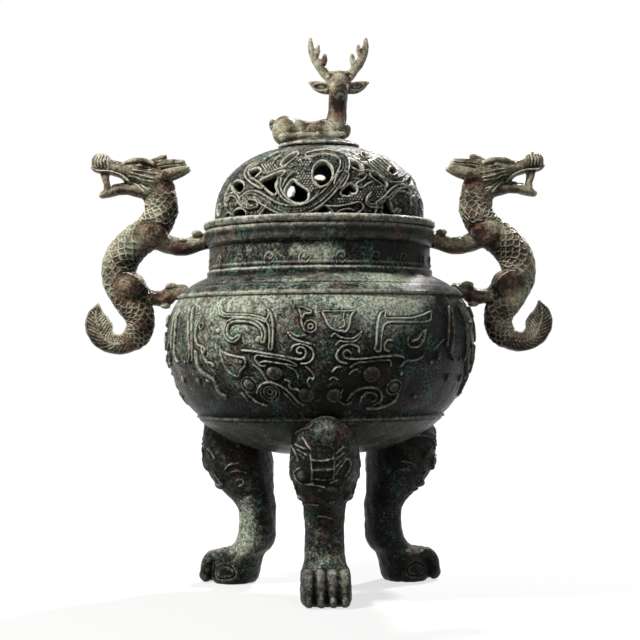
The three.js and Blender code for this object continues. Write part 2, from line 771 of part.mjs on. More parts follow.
function finialRivet() {
  const head = turned([
    [0, DOME_INSIDE_TOP - 3.6],
    [3, DOME_INSIDE_TOP - 3],
    [RIVET_HEAD, DOME_INSIDE_TOP - 1.2],
    [RIVET_HEAD, DOME_INSIDE_TOP - 0.6],
    [0, DOME_INSIDE_TOP - 0.6],
  ], 16);
  return head.add(bar([0, 0, DOME_INSIDE_TOP - 2], [0, 0, FINIAL_RIVET_TIP], RIVET_SHANK));
}

// the whole burner

const bronze = (color, roughness) =>
  new THREE.MeshStandardMaterial({ color, roughness, metalness: 0.7 });
const patina = bronze(0x3a4038, 0.6);
const wornBronze = bronze(0x4c4438, 0.5);
const rivetBronze = bronze(0x5a4c38, 0.5);

const burner = new THREE.Group();
burner.add(meshOf("bowl", bowl(), patina));
for (const [name, degrees] of Object.entries(LEG_ANGLES))
  burner.add(meshOf(name, leg(name, degrees), patina));
for (const side of ["left", "right"])
  burner.add(meshOf("dragon_" + side, dragon(side), wornBronze));
for (const [name, site] of Object.entries(RIVET_SITES))
  burner.add(meshOf(name, rivet(name, site), rivetBronze));

const lidGroup = new THREE.Group();
lidGroup.add(meshOf("lid", lid(), patina));
lidGroup.add(meshOf("crown_plate", crownPlate(), patina));
lidGroup.add(meshOf("deer_finial", deer(), wornBronze));
lidGroup.add(meshOf("finial_rivet", finialRivet(), rivetBronze));
burner.add(lidGroup);

export default burner;
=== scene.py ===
# Looks of the tripod incense burner: dark patinated bronze with green and red-brown growth, on a pale
# floor, seen level with the belly as in the photograph. Shapes are worked out in millimetres and written
# to the meshes in metres. Directions: "turn" is the angle round the axis to the right of the front.
import json
import math

import bpy
import numpy as np
from mathutils import Matrix, Vector
from mathutils.bvhtree import BVHTree

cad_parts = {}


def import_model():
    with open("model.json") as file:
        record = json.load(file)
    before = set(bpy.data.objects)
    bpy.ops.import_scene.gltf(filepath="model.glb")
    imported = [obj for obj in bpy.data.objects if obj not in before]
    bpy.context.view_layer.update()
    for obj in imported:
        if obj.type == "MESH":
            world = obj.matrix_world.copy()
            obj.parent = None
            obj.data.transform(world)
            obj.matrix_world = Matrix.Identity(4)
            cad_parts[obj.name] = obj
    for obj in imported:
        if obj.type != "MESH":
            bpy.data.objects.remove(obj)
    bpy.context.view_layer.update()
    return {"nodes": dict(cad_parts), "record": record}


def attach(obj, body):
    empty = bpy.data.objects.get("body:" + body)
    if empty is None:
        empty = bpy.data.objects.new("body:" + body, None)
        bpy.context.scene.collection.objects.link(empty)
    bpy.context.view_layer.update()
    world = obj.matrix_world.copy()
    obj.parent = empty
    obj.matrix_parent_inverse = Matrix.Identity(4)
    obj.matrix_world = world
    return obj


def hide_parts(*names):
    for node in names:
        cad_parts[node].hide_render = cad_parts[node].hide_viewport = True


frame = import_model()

MM = 0.001

# measures of the camera
CAMERA_DISTANCE = 852
CAMERA_HEIGHT = 128
CAMERA_TURN = math.radians(-2)
CAMERA_TILT = math.radians(1.26)
CAMERA_ROLL = math.radians(0.45)
LENS_MM = 87.2
SENSOR_MM = 36
FRAME_PIXELS = 640
SIGHT_END = 50 # metres

# measures of the bowl and the lid
WALL = 3
NECK_RADIUS = 60.4
RIM_RADIUS = 63
RIM_BOTTOM = 186.4
RIM_TOP = 195.9
MOUTH_RADIUS = 57.2
LID_BOTTOM = 196.2
LID_FLANGE_RADIUS = 63.5
LID_FLANGE_TOP = 200.6
LID_WALL = 2.8
SPIGOT_RADIUS = 56.4
SPIGOT_DEPTH = 4
CROWN_RADIUS = 22.5
RIVET_HOLE = 2.5
BELT_BOTTOM = 94.5
BELT_TOP = 159.4
SHOULDER_LINE = 164.7
FLOOR_LINE = 93.4
GROUND_DEPTH = 1.55
RELIEF_TOP = 1.12

# outer outline of the belly from the middle of its floor to the foot of the neck
BELLY = [
    (0, 73.6), (26, 74.8), (50, 82), (69.1, 95.3), (79.7, 110.6), (85, 127.5), (84.8, 146), (78.3, 159.6),
    (69.5, 166.2), (61.8, 170),
]
# outer outline of the dome from the flange to the axis
DOME = [
    (57.8, 200.6), (57.3, 209), (54.6, 218), (49.2, 226.7), (38.7, 235), (26.4, 239.8), (13, 241.9),
    (0, 242.4),
]


# camera and its rays

def camera_axes():
    """Right, up and forward of the camera in the burner's frame."""
    forward = np.array([-math.sin(CAMERA_TURN), math.cos(CAMERA_TURN), 0])
    right = np.array([math.cos(CAMERA_TURN), math.sin(CAMERA_TURN), 0])
    up = np.array([0, 0, 1])
    ahead = math.cos(CAMERA_TILT) * forward + math.sin(CAMERA_TILT) * up
    above = math.cos(CAMERA_TILT) * up - math.sin(CAMERA_TILT) * forward
    leaned_right = math.cos(CAMERA_ROLL) * right - math.sin(CAMERA_ROLL) * above
    leaned_up = math.sin(CAMERA_ROLL) * right + math.cos(CAMERA_ROLL) * above
    return leaned_right, leaned_up, ahead


def camera_place():
    return np.array([
        CAMERA_DISTANCE * math.sin(CAMERA_TURN),
        -CAMERA_DISTANCE * math.cos(CAMERA_TURN),
        CAMERA_HEIGHT,
    ])


def camera():
    data = bpy.data.cameras.new("camera")
    data.lens = LENS_MM
    data.sensor_width = SENSOR_MM
    data.clip_end = SIGHT_END
    seat = bpy.data.objects.new("camera", data)
    bpy.context.scene.collection.objects.link(seat)
    right, up, ahead = camera_axes()
    axes = Matrix((right, up, -ahead)).transposed().to_4x4()
    seat.matrix_world = Matrix.Translation(Vector(camera_place() * MM)) @ axes
    bpy.context.scene.camera = seat


def pixel_ray(column, row):
    right, up, ahead = camera_axes()
    lens_pixels = LENS_MM / SENSOR_MM * FRAME_PIXELS
    across = (column - FRAME_PIXELS / 2) / lens_pixels
    above = (FRAME_PIXELS / 2 - row) / lens_pixels
    return right * across + up * above + ahead


# curves and profiles

WOBBLE_WAVES = 14


def bend_between(a, b, c, d, step):
    """Catmull-Rom points from b up to, but without, c."""
    count = max(1, round(np.linalg.norm((c - b)[:3]) / step))
    t = np.arange(count)[:, None] / count
    bend = (2 * a - 5 * b + 4 * c - d) * t**2 + (3 * b - a - 3 * c + d) * t**3
    return b + 0.5 * ((c - a) * t + bend)


def curve_through(points, step):
    """A smooth curve through points, about step apart; columns past the third are carried along."""
    given = np.array(points, float)
    ends = np.vstack([2 * given[0] - given[1], given, 2 * given[-1] - given[-2]])
    made = [bend_between(*four, step) for four in zip(ends, ends[1:], ends[2:], ends[3:])]
    return np.vstack([*made, given[-1:]])


def closed_curve(points, step):
    given = np.array(points, float)
    fours = zip(np.roll(given, 1, axis=0), given, np.roll(given, -1, axis=0), np.roll(given, -2, axis=0))
    return np.vstack([bend_between(*four, step) for four in fours])


def outward(profile):
    """Unit normals of a profile of (radius, height), to the right of its direction."""
    step = np.gradient(profile, axis=0)
    step /= np.linalg.norm(step, axis=1)[:, None]
    return np.column_stack([step[:, 1], -step[:, 0]])


def walked(steps):
    """The way walked before each step and after the last."""
    return np.concatenate([[0], np.cumsum(steps)])


def from_table(value, pairs):
    """Value looked up between the pairs of a table."""
    return np.interp(value, *zip(*pairs))


def soft_step(value, width):
    """0 below zero, 1 above width, and an eased climb between."""
    t = np.clip(value / width, 0, 1)
    return t * t * (3 - 2 * t)


def spot(value, middle, width):
    """1 at the middle, falling to nothing a few widths away."""
    return np.exp(-(((value - middle) / width) ** 2))


def climb(value, start, width):
    """0 up to start, 1 from a width later, and a straight climb between."""
    return np.clip((value - start) / width, 0, 1)


def unevenness(points, size, amount, seed):
    """A smooth seeded wobble at points, from waves about size millimetres long."""
    random = np.random.default_rng(seed)
    total = np.zeros(len(points))
    for _ in range(WOBBLE_WAVES):
        direction = random.normal(size=3)
        direction *= 2 * math.pi / size / np.linalg.norm(direction) * random.uniform(0.6, 1.7)
        total += np.sin(points @ direction + random.uniform(0, 2 * math.pi))
    return total / math.sqrt(WOBBLE_WAVES / 2) * amount


# relief on a turned surface

def distance_to_path(points, path):
    """Distance of points to a path, and how far along the path each point's nearest place is, 0 to 1."""
    best = np.full(len(points), np.inf)
    along = np.zeros(len(points))
    for k, (a, b) in enumerate(zip(path, path[1:])):
        edge = b - a
        length = edge @ edge
        if length < 1e-9:
            continue
        t = np.clip((points - a) @ edge / length, 0, 1)
        far = np.linalg.norm(points - a - t[:, None] * edge, axis=1)
        closer = far < best
        best[closer] = far[closer]
        along[closer] = (k + t[closer]) / (len(path) - 1)
    return best, along


# stretch of a camera ray, before and behind the axis, on which a turned surface is looked for
SEEN_BEFORE = 95
SEEN_BEHIND = 10
SEEN_STEPS = 1600
INSET_REACH = 3 # how far from a closed path its inset is worked out
# raised lip of a band or a plate: how far inside its edge, and how wide
LIP_INSET = 0.6
LIP_WIDTH = 0.42
# a knob is a round one with a flat button: shares of its lift
ROUND_SHARE = 0.9
BUTTON_SHARE = 0.1


class Relief:
    """Raised and cut work on the front of a turned surface, as a lift in millimetres on a grid."""

    def __init__(self, outline, rows, turns):
        self.heights = outline[:, 1]
        self.radii = outline[:, 0]
        turn_grid, row_grid = np.meshgrid(turns, np.arange(len(rows)))
        self.turn = turn_grid.ravel()
        self.height = rows[row_grid.ravel(), 1]
        self.points = self.on_surface(self.turn, self.height, rows[row_grid.ravel(), 0])
        self.raised = np.zeros(len(self.turn))
        self.cut = np.zeros(len(self.turn))
        self.shape = turn_grid.shape

    def radius_at(self, height):
        return np.interp(height, self.heights, self.radii)

    def on_surface(self, turn, height, radius):
        return np.column_stack([radius * np.sin(turn), -radius * np.cos(turn), height])

    def seen(self, pixels):
        """Points of the surface that the camera sees at pixels of the photograph's frame."""
        depths = np.linspace(CAMERA_DISTANCE - SEEN_BEFORE, CAMERA_DISTANCE + SEEN_BEHIND, SEEN_STEPS)
        found = []
        for column, row in pixels:
            line = camera_place() + depths[:, None] * pixel_ray(column, row)
            clear = np.hypot(line[:, 0], line[:, 1]) - self.radius_at(line[:, 2])
            hit = np.argmax(clear < 0) if (clear < 0).any() else np.argmin(clear)
            found.append(line[hit])
        return np.array(found)

    def path(self, pixels, closed=False, step=1.2):
        curve = closed_curve if closed else curve_through
        return self.seen(curve(pixels, step))

    def close_to(self, path, reach):
        low = path.min(axis=0) - reach
        high = path.max(axis=0) + reach
        return np.flatnonzero(((self.points > low) & (self.points < high)).all(axis=1))

    def inside(self, path, index):
        """Which points of the grid lie inside a closed path, in turn and height."""
        turns = np.arctan2(path[:, 0], -path[:, 1])
        heights = path[:, 2]
        found = np.zeros(len(index), bool)
        for t0, z0, t1, z1 in zip(turns, heights, np.roll(turns, -1), np.roll(heights, -1)):
            crosses = (z0 > self.height[index]) != (z1 > self.height[index])
            reach = t0 + (self.height[index] - z0) * (t1 - t0) / (z1 - z0 if z1 != z0 else 1)
            found ^= crosses & (self.turn[index] < reach)
        return found

    def inset(self, path):
        """Points near a closed path, their distance inside it, less than 0 outside, and place along it."""
        index = self.close_to(path, INSET_REACH)
        far, along = distance_to_path(self.points[index], np.vstack([path, path[:1]]))
        return index, np.where(self.inside(path, index), far, -far), along

    def raise_to(self, index, lift):
        self.raised[index] = np.maximum(self.raised[index], lift)

    def beside(self, path, width):
        """Points near a path, and how far inside a stroke of that width along it they lie."""
        index = self.close_to(path, width)
        far, _ = distance_to_path(self.points[index], path)
        return index, width / 2 - far

    def ridge(self, pixels, width, lift):
        index, inset = self.beside(self.path(pixels), width)
        self.raise_to(index, lift * soft_step(inset, width / 2 * 0.7))

    def band(self, pixels, width, lift, lip):
        """A flat raised band with a fine raised lip along both edges."""
        index, inset = self.beside(self.path(pixels), width)
        self.raise_to(index, self.lipped(inset, lift, lip))

    def plateau(self, pixels, lift, lip):
        index, inset, _ = self.inset(self.path(pixels, closed=True))
        self.raise_to(index, self.lipped(inset, lift, lip))

    def lipped(self, inset, lift, lip):
        edge = spot(inset, LIP_INSET, LIP_WIDTH) * (inset > 0)
        return lift * soft_step(inset, 0.4) + lip * edge

    def groove(self, pixels, width, depth, closed=False):
        index, inset = self.beside(self.path(pixels, closed), width)
        self.cut[index] = np.maximum(self.cut[index], depth * soft_step(inset, width / 2))

    def boss(self, centre, radius, lift, flat=1.0):
        """A round knob, or an oval one when flat is its height over its width."""
        middle = self.seen([centre])[0]
        index = self.close_to(middle[None], radius + 1)
        apart = self.points[index] - middle
        upright = apart[:, 2] / flat
        sideways = np.hypot(apart[:, 0], apart[:, 1])
        share = np.clip(1 - (sideways**2 + upright**2) / radius**2, 0, 1)
        knob = ROUND_SHARE * share**0.75 + BUTTON_SHARE * soft_step(share, 0.2)
        self.raise_to(index, lift * knob)

    def ring(self, centre, radius, width, lift):
        middle = self.seen([centre])[0]
        index = self.close_to(middle[None], radius + width)
        far = np.linalg.norm(self.points[index] - middle, axis=1)
        self.raise_to(index, lift * soft_step(width / 2 - abs(far - radius), width / 2))

    def field(self):
        return (self.raised - self.cut).reshape(self.shape)


# meshes

def new_mesh(name, points, faces):
    """A mesh from points in millimetres and arrays of triangles and quads, without unused points."""
    faces = [np.asarray(group) for group in faces if len(group)]
    corners = np.concatenate([group.ravel() for group in faces])
    sizes = np.concatenate([np.full(len(group), group.shape[1]) for group in faces])
    used, corners = np.unique(corners, return_inverse=True)
    mesh = bpy.data.meshes.new(name)
    mesh.vertices.add(len(used))
    mesh.vertices.foreach_set("co", (points[used] * MM).astype(np.float32).ravel())
    mesh.loops.add(len(corners))
    mesh.loops.foreach_set("vertex_index", corners.astype(np.int32).ravel())
    mesh.polygons.add(len(sizes))
    mesh.polygons.foreach_set("loop_start", (np.cumsum(sizes) - sizes).astype(np.int32))
    mesh.update(calc_edges=True)
    mesh.shade_smooth()
    return mesh


def ring_faces(first, count_first, second, count_second):
    """Faces between two rings, given their first vertices; a ring may have half the points of the other."""
    if count_first == count_second:
        j = np.arange(count_first)
        k = (j + 1) % count_first
        return [np.column_stack([first + j, first + k, second + k, second + j])]
    if count_second == 1:
        j = np.arange(count_first)
        return [np.column_stack([first + j, first + (j + 1) % count_first, np.full(count_first, second)])]
    if count_first == 1:
        j = np.arange(count_second)
        return [np.column_stack([np.full(count_second, first), second + (j + 1) % count_second, second + j])]
    if count_first == 2 * count_second:
        j = np.arange(count_second)
        k = (j + 1) % count_second
        left, middle, right = first + 2 * j, first + 2 * j + 1, first + (2 * j + 2) % count_first
        return [
            np.column_stack([left, middle, second + j]),
            np.column_stack([middle, second + k, second + j]),
            np.column_stack([middle, right, second + k]),
        ]
    flipped = ring_faces(second, count_second, first, count_first)
    return [group[:, ::-1] for group in flipped]


def turned_skin(rings, closed=False):
    """Points and faces of a skin over rings of points."""
    counts = [len(ring) for ring in rings]
    starts = np.cumsum(counts) - counts
    faces = []
    for k in range(len(rings) - 1 + closed):
        after = (k + 1) % len(rings)
        faces += ring_faces(starts[k], counts[k], starts[after], counts[after])
    return np.vstack(rings), faces


def ring_of(radius, height, count, start_turn=-math.pi):
    """A ring of points; radius and height may be arrays, one value for each point."""
    if count == 1:
        return np.array([[0, 0, np.mean(height)]])
    turn = start_turn + 2 * math.pi * np.arange(count) / count
    return np.column_stack([radius * np.sin(turn), -radius * np.cos(turn), np.broadcast_to(height, count)])


# finished pieces

SOFTENINGS = 16


def vectors_of(mesh, name):
    """Place or normal of every point of a mesh."""
    found = np.empty(len(mesh.vertices) * 3, np.float32)
    mesh.vertices.foreach_get(name, found)
    return found.reshape(-1, 3)


def mark_surface(mesh, crust):
    """Point values for the finish: wear and painted highlight where the metal stands out, hollow where it
    lies deep, and crust.
    """
    count = len(mesh.vertices)
    points = vectors_of(mesh, "co") / MM
    normals = vectors_of(mesh, "normal")
    edges = np.empty(len(mesh.edges) * 2, np.int32)
    mesh.edges.foreach_get("vertices", edges)
    a, b = edges.reshape(-1, 2).T

    def spread(values):
        return np.bincount(a, values[b], count) + np.bincount(b, values[a], count)

    degree = np.maximum(spread(np.ones(count)), 1)
    near = np.column_stack([spread(points[:, axis]) for axis in range(3)]) / degree[:, None]
    length = ((points[a] - points[b]) ** 2).sum(axis=1)
    squares = (np.bincount(a, length, count) + np.bincount(b, length, count)) / degree
    bend = 2 * ((points - near) * normals).sum(axis=1) / np.maximum(squares, 1e-6)
    bend = np.clip(bend, -2, 2)
    for _ in range(2):
        bend = (bend + spread(bend) / degree) / 2
    soft = points
    for _ in range(SOFTENINGS):
        near = np.column_stack([spread(soft[:, axis]) for axis in range(3)]) / degree[:, None]
        soft = (soft + near) / 2
    stand = ((points - soft) * normals).sum(axis=1)
    # wear and painted highlight on edges and on places that stand out
    wear_and_highlight = climb(bend, 0.15, 0.6) * 0.5 + climb(stand, 0.05, 0.35) * 0.55
    # hollow marks the deep places, which the finish darkens as dirt and painted shade, and where it adds a
    # little more green growth
    hollow = np.maximum(climb(-bend, 0.12, 0.4), climb(-stand, 0.03, 0.2))
    for name, found in (("wear_and_highlight", wear_and_highlight), ("hollow", hollow), ("crust", crust(points))):
        mesh.attributes.new(name, "FLOAT", "POINT")
        mesh.attributes[name].data.foreach_set("value", found.astype(np.float32))


def even_crust(points):
    return 0.5 + unevenness(points, size=30, amount=0.1, seed=9)


def place_piece(name, mesh, body, slot, nodes, crust=even_crust):
    mark_surface(mesh, crust)
    piece = bpy.data.objects.new(name, mesh)
    bpy.context.scene.collection.objects.link(piece)
    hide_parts(*nodes)
    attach(piece, body)
    mesh.materials.append(looks[slot])


# mask on the belly: named strokes through pixels of the photograph's frame

MASK_PLATEAUS = {
    "left blade": [
        (266, 306.5), (270.5, 311), (273, 319), (273.8, 330), (273.3, 342), (272, 350.5), (267, 349.5),
        (267.8, 338), (267, 327), (264.5, 320.5), (266.8, 314),
    ],
    "left leaf": [
        (217.8, 345), (221, 350.5), (227.5, 353.6), (236, 355.7), (243.2, 357), (245.9, 362),
        (244.8, 367.6), (241, 371.5), (238, 378), (230.5, 375.2), (225, 369.8), (220.7, 362), (218.4, 354),
    ],
    "right flag": [
        (374, 349), (375.7, 343.8), (376.8, 330.7), (377.9, 319.9), (380.3, 312), (385.5, 309.4),
        (387.3, 312.6), (387.5, 316.2), (399.6, 316.4), (412.6, 316.2), (423.5, 313.2), (432.2, 309.4),
        (432.6, 315), (431, 321.3), (418, 323.1), (401.8, 322.6), (390, 323.2), (385.8, 326), (384, 332),
        (383, 340), (382.2, 351.3), (377.5, 353),
    ],
    "centre flag": [
        (322, 310), (333, 309.4), (345, 309.4), (356.4, 309.4), (353, 315.6), (350.8, 326.4), (348, 331.5),
        (345, 333), (341, 332), (334, 331), (328, 326), (324, 318),
    ],
    "left centre scroll": [
        (297.5, 307.5), (302, 304.8), (307, 307), (312.4, 309.4), (311.6, 313.6), (305, 314.4),
        (303.6, 319), (300.5, 318), (299, 312),
    ],
}
MASK_BANDS = {
    "left horn": (2.6, [
        (219.3, 306.5), (220, 312), (224.5, 314.8), (234, 315), (248, 315.6), (258, 317.4), (264, 320),
    ]),
    "left scroll": (3.1, [
        (237, 337), (232, 340.6), (226.4, 337.8), (224.4, 331), (226.6, 323.6), (233, 319.6), (243, 319.4),
        (253, 321.4), (260, 326.4), (263, 334), (262, 341),
    ]),
    "left side scroll": (2.2, [
        (194, 352), (195.5, 362), (199, 370.5), (205.5, 376), (212.5, 381), (216, 388), (219.5, 394.5),
        (224.5, 397.5),
    ]),
}
MASK_RIDGES = {
    "left brow": (1.5, [
        (240.8, 350.5), (252.5, 351.6), (265.5, 354), (278.3, 356), (291, 358.6), (299.6, 359.8),
        (304, 357.8), (306, 353.4), (304, 348.6), (299.8, 347.2), (296.6, 349.6), (297.6, 353.2),
        (301, 353.6),
    ]),
    "left brow spiral": (1.4, [
        (290.6, 351), (292, 347), (296, 344.8), (301.2, 344.2), (307.2, 346.2), (312, 350), (313.6, 355.5),
        (311.6, 360.6), (306.4, 363.6), (300.6, 363.8),
    ]),
    "left brow lower": (1.3, [
        (264.4, 366.2), (259.4, 366), (255.6, 361.8), (254.4, 357.4), (257.6, 355.4), (266, 356.8),
        (278.3, 358.8), (288.4, 361), (296.6, 365.8),
    ]),
    "left brow inner": (1.1, [
        (259.4, 363), (263.6, 361.8), (272.4, 362.8), (284.6, 364.6), (296.2, 366.8),
    ]),
    "left eye lid": (1.3, [(252.8, 365), (257.4, 368.6), (261.4, 372.8), (264, 377.8), (267.6, 382)]),
    "left eye corner": (1.2, [(286.5, 366.5), (293.6, 370), (296.8, 374), (298, 378.4)]),
    "left cheek": (1.2, [(305.6, 367), (310.6, 371.6), (314, 377.4), (312, 381)]),
    "left hook": (1.3, [(313.4, 379.4), (309.2, 378.8), (307.4, 382.9), (309.6, 387.6)]),
    "left curl": (1.3, [
        (284.4, 380.2), (289.7, 382.6), (288.6, 386.5), (291.7, 390), (296.3, 390.2), (300, 393),
    ]),
    "left snout": (1.1, [(286.4, 390.5), (291, 394.5), (295, 400), (298, 404)]),
    "left side outer": (1.3, [
        (200.2, 347), (201, 353), (203, 358.7), (206, 362.5), (210.4, 363.8), (212, 367),
    ]),
    "left side ridge": (1.4, [(188.4, 306), (186.6, 320), (186.6, 338.3), (188, 355), (186.6, 363)]),
    "left side ridge twin": (1.1, [(192, 307), (190.2, 320), (189.8, 340), (191, 361)]),
    "left crescent": (1.4, [(287.6, 332.5), (293, 338.6), (301, 341.6), (311, 344.2)]),
    "left crescent twin": (1.2, [(289.6, 331.8), (297, 336.2), (305.6, 335.2)]),
    "left neck curl": (1.2, [(300.8, 319), (302.4, 326), (305, 331)]),
    "right neck curl": (1.2, [
        (344.5, 311.5), (343.6, 317.5), (345, 322.6), (343.6, 326.6), (339.6, 327.6),
    ]),
    "right crescent": (1.3, [
        (331.6, 336.6), (335.2, 333.4), (340, 336.8), (346, 338.4), (352.5, 338.6), (358, 335.4),
        (362.4, 331.6),
    ]),
    "right crescent twin": (1.3, [
        (336.4, 345.2), (339.8, 341.4), (347.5, 342), (356, 340.8), (361.6, 334.8),
    ]),
    "right small curl": (1.4, [(392.8, 340.2), (388.8, 340), (385.4, 344.4), (385.8, 349.4), (390, 351.4)]),
    "right leaf curl": (1.5, [(427.8, 329.1), (422.5, 333.6), (419.2, 338.6), (413.8, 341)]),
    "right leaf outline": (1.2, [
        (409.4, 337.2), (408.6, 343.6), (412.6, 347.4), (420, 346.6), (424.6, 340.4), (426.4, 331.8),
    ]),
    "right brow": (1.5, [
        (359.6, 352.4), (358.8, 347.4), (352.6, 344.6), (344.4, 345.6), (338.8, 350.6), (336.6, 357),
        (340, 361.8), (347, 363.8),
    ]),
    "right brow line": (1.5, [
        (351.5, 353.5), (347, 350.2), (343.4, 353.6), (346.6, 358.6), (358.4, 359.2), (374.7, 357.8),
        (391, 356.2), (401, 356.2), (404.5, 357.5),
    ]),
    "right brow lower": (1.3, [
        (350.6, 368), (357.2, 363.4), (367, 362.2), (382.2, 360.6), (390.6, 361), (391.6, 366),
    ]),
    "right leaf": (1.3, [(401.2, 367.2), (406.8, 361.4), (416.6, 360.6), (423.2, 357), (426, 353.4)]),
    "right temple": (1.2, [(349.4, 374.6), (353.6, 371), (358.4, 369.8)]),
    "right cheek": (1.2, [(332.2, 372.4), (336.6, 367.8), (341, 367.4)]),
    "right cheek arc": (1.1, [(329.4, 379.8), (333.4, 378), (338, 380.4)]),
    "right side ridge": (1.4, [(449.6, 305.6), (450.6, 318), (450.4, 332), (448.8, 346)]),
    "right side stroke": (1.2, [(437.4, 347.8), (441, 343.6), (445.4, 339.2)]),
    "right side hook": (1.2, [(438.6, 360.4), (441.2, 357), (441.6, 352.6)]),
    "right jaw sweep": (1.2, [
        (347.6, 401.4), (351.4, 395.4), (357.4, 391), (365.4, 388.6), (374, 388.6), (380.6, 391.8),
        (382.6, 397.4), (380.4, 402.8), (374.4, 405.8),
    ]),
    "right jaw inner": (1.0, [
        (360.6, 403), (362.4, 397.4), (367.4, 393.6), (373.4, 393.6), (377.2, 397), (375.8, 401.2),
        (371.4, 402.4),
    ]),
    "right jaw line": (1.2, [(399, 394.6), (396, 400.8), (388.8, 405.8), (378.4, 409.2), (366.4, 409.4)]),
    "right jaw fold": (1.0, [(343, 391), (338, 400.4), (345.6, 405.6), (352, 402.8)]),
    "left jaw sweep": (1.3, [
        (256.4, 393.6), (258.4, 387.6), (263.4, 384), (270.4, 383.2), (277.4, 385.2), (284.6, 389.4),
        (291.2, 395.6), (297, 402), (303.4, 406.2),
    ]),
    "left jaw twin": (1.0, [(283.6, 393.6), (288.6, 398.6), (293, 403.8), (298.4, 408)]),
    "left jaw line": (1.1, [(245.6, 393.4), (251.6, 399.6), (258.6, 404.2), (267, 406.6)]),
    "left jaw hair": (0.9, [(240.6, 393.6), (244.4, 397.6), (247.4, 402)]),
    "left side bar": (1.5, [
        (178.4, 310), (174.8, 319), (173, 331), (172.4, 345), (173, 356), (176.4, 362),
    ]),
    "left side upper hook": (1.2, [
        (196.6, 322), (194.4, 330), (193.8, 338), (196.4, 344.6), (201.4, 347), (203.2, 350.6),
        (201.4, 354),
    ]),
}
MASK_GROOVES = {
    "left leaf vein": [(222.5, 353), (228, 360.5), (235.5, 365.2), (240, 370)],
    "left leaf barb": [(226.5, 366.4), (231, 366), (234.6, 371.6)],
    "left leaf barb twin": [(220.6, 357.6), (225.6, 362.6)],
}
# knobs: middle, radius across in millimetres, lift, height over width
MASK_KNOBS = {
    "left eye": ((273.5, 374), 4.6, 1.75, 0.85),
    "right eye": ((372.5, 375.2), 4.9, 1.75, 0.95),
    "left nostril": ((306, 396.5), 4.3, 1.7, 1.0),
    "right nostril": ((334.5, 397), 4.3, 1.7, 1.0),
    "left chin": ((247.8, 385.6), 3.4, 1.3, 1.0),
    "right chin": ((395.3, 388.4), 3.0, 1.3, 1.0),
    "left scroll end": ((257.8, 339.6), 2.1, 1.0, 1.0),
    "left leaf boss": ((240, 362.4), 1.8, 1.2, 1.0),
    "left side knob": ((216, 330.8), 1.6, 0.8, 1.0),
    "left side tip": ((224, 399), 2.0, 0.9, 0.7),
    "left side bead": ((206.4, 381.2), 2.2, 0.9, 0.8),
    "left outer bead": ((196.4, 381.6), 1.8, 0.8, 1.4),
    "left outer bead twin": ((181, 380.6), 1.6, 0.8, 1.6),
    "left outer drop": ((183, 362.4), 1.2, 0.7, 1.0),
    "right outer bead": ((433.4, 363.2), 1.4, 0.8, 1.0),
    "right outer bead twin": ((402.6, 374.4), 1.3, 0.8, 1.0),
    "right low bead": ((416, 398), 1.6, 0.7, 1.0),
}
# rings: middle and radius in millimetres
MASK_RINGS = {
    "left throat": ((310.2, 326), 3.1),
    "left throat inner": ((310.4, 326), 1.2),
    "right throat": ((338.9, 325.2), 3.2),
    "left spiral": ((269, 393.8), 5.2),
    "left spiral middle": ((269, 393.6), 3.3),
    "left spiral inner": ((269, 393.2), 1.5),
    "left chin ring": ((247.8, 386), 4.4),
    "left side ring": ((199.2, 325.6), 1.7),
    "left top ring": ((196.4, 307.6), 1.3),
    "right chin ring": ((395.3, 388.6), 4.2),
}


def mask_relief(outline, rows, turns):
    relief = Relief(outline, rows, turns)
    for pixels in MASK_PLATEAUS.values():
        relief.plateau(pixels, lift=0.7, lip=0.55)
    for width, pixels in MASK_BANDS.values():
        relief.band(pixels, width, lift=0.7, lip=0.55)
    for width, pixels in MASK_RIDGES.values():
        relief.ridge(pixels, width, lift=1.15)
    for pixels in MASK_GROOVES.values():
        relief.groove(pixels, width=0.9, depth=0.6)
    for middle, radius, lift, flat in MASK_KNOBS.values():
        relief.boss(middle, radius, lift, flat)
    for middle, radius in MASK_RINGS.values():
        relief.ring(middle, radius, width=1.1, lift=0.6)
    return relief.field()


# bowl

BELT_COLUMNS = 1440
INSIDE_COLUMNS = 360
LEG_COUNT = 3
SCROLL_SPACING = 18 # degrees between the small scrolls on the neck
SCROLL_DROP = 0.6
SCROLL_LIFT = 0.5
# a small cloud scroll: sideways and upwards from its middle
CLOUD_SCROLL = [(-2.6, -3.4), (-3.2, -0.4), (-1.8, 2.4), (0.6, 2.8), (1.6, 0.9), (0.4, -0.4), (-0.7, 0.4)]
CLOUD_TAIL = [(-0.6, -3.2), (1.2, -2.2), (2.4, -0.6)]


def even_rows(profile, step):
    """A profile of (radius, height) walked again in even steps."""
    profile = np.asarray(profile, float)
    length = walked(np.linalg.norm(np.diff(profile, axis=0), axis=1))
    places = np.linspace(0, length[-1], max(2, round(length[-1] / step) + 1))
    return np.column_stack([np.interp(places, length, column) for column in profile.T])


def part_of(outline, low, high):
    """The stretch of a rising outline between two heights."""
    heights = outline[:, 1]
    ends = [[np.interp(z, heights, outline[:, 0]), z] for z in (low, high)]
    middle = outline[(heights > low) & (heights < high)]
    return np.vstack([ends[:1], middle, ends[1:]])


def folded(field, columns, count):
    """A field on the front folded into one of count equal sectors, then repeated all round."""
    sector = columns // count
    extra = (field.shape[1] - sector) // 2
    middle = field[:, extra:extra + sector].copy()
    middle[:, -extra:] = strongest(middle[:, -extra:], field[:, :extra])
    middle[:, :extra] = strongest(middle[:, :extra], field[:, extra + sector:])
    return np.tile(middle, (1, count))


def strongest(first, second):
    return np.where(abs(second) > abs(first), second, first)


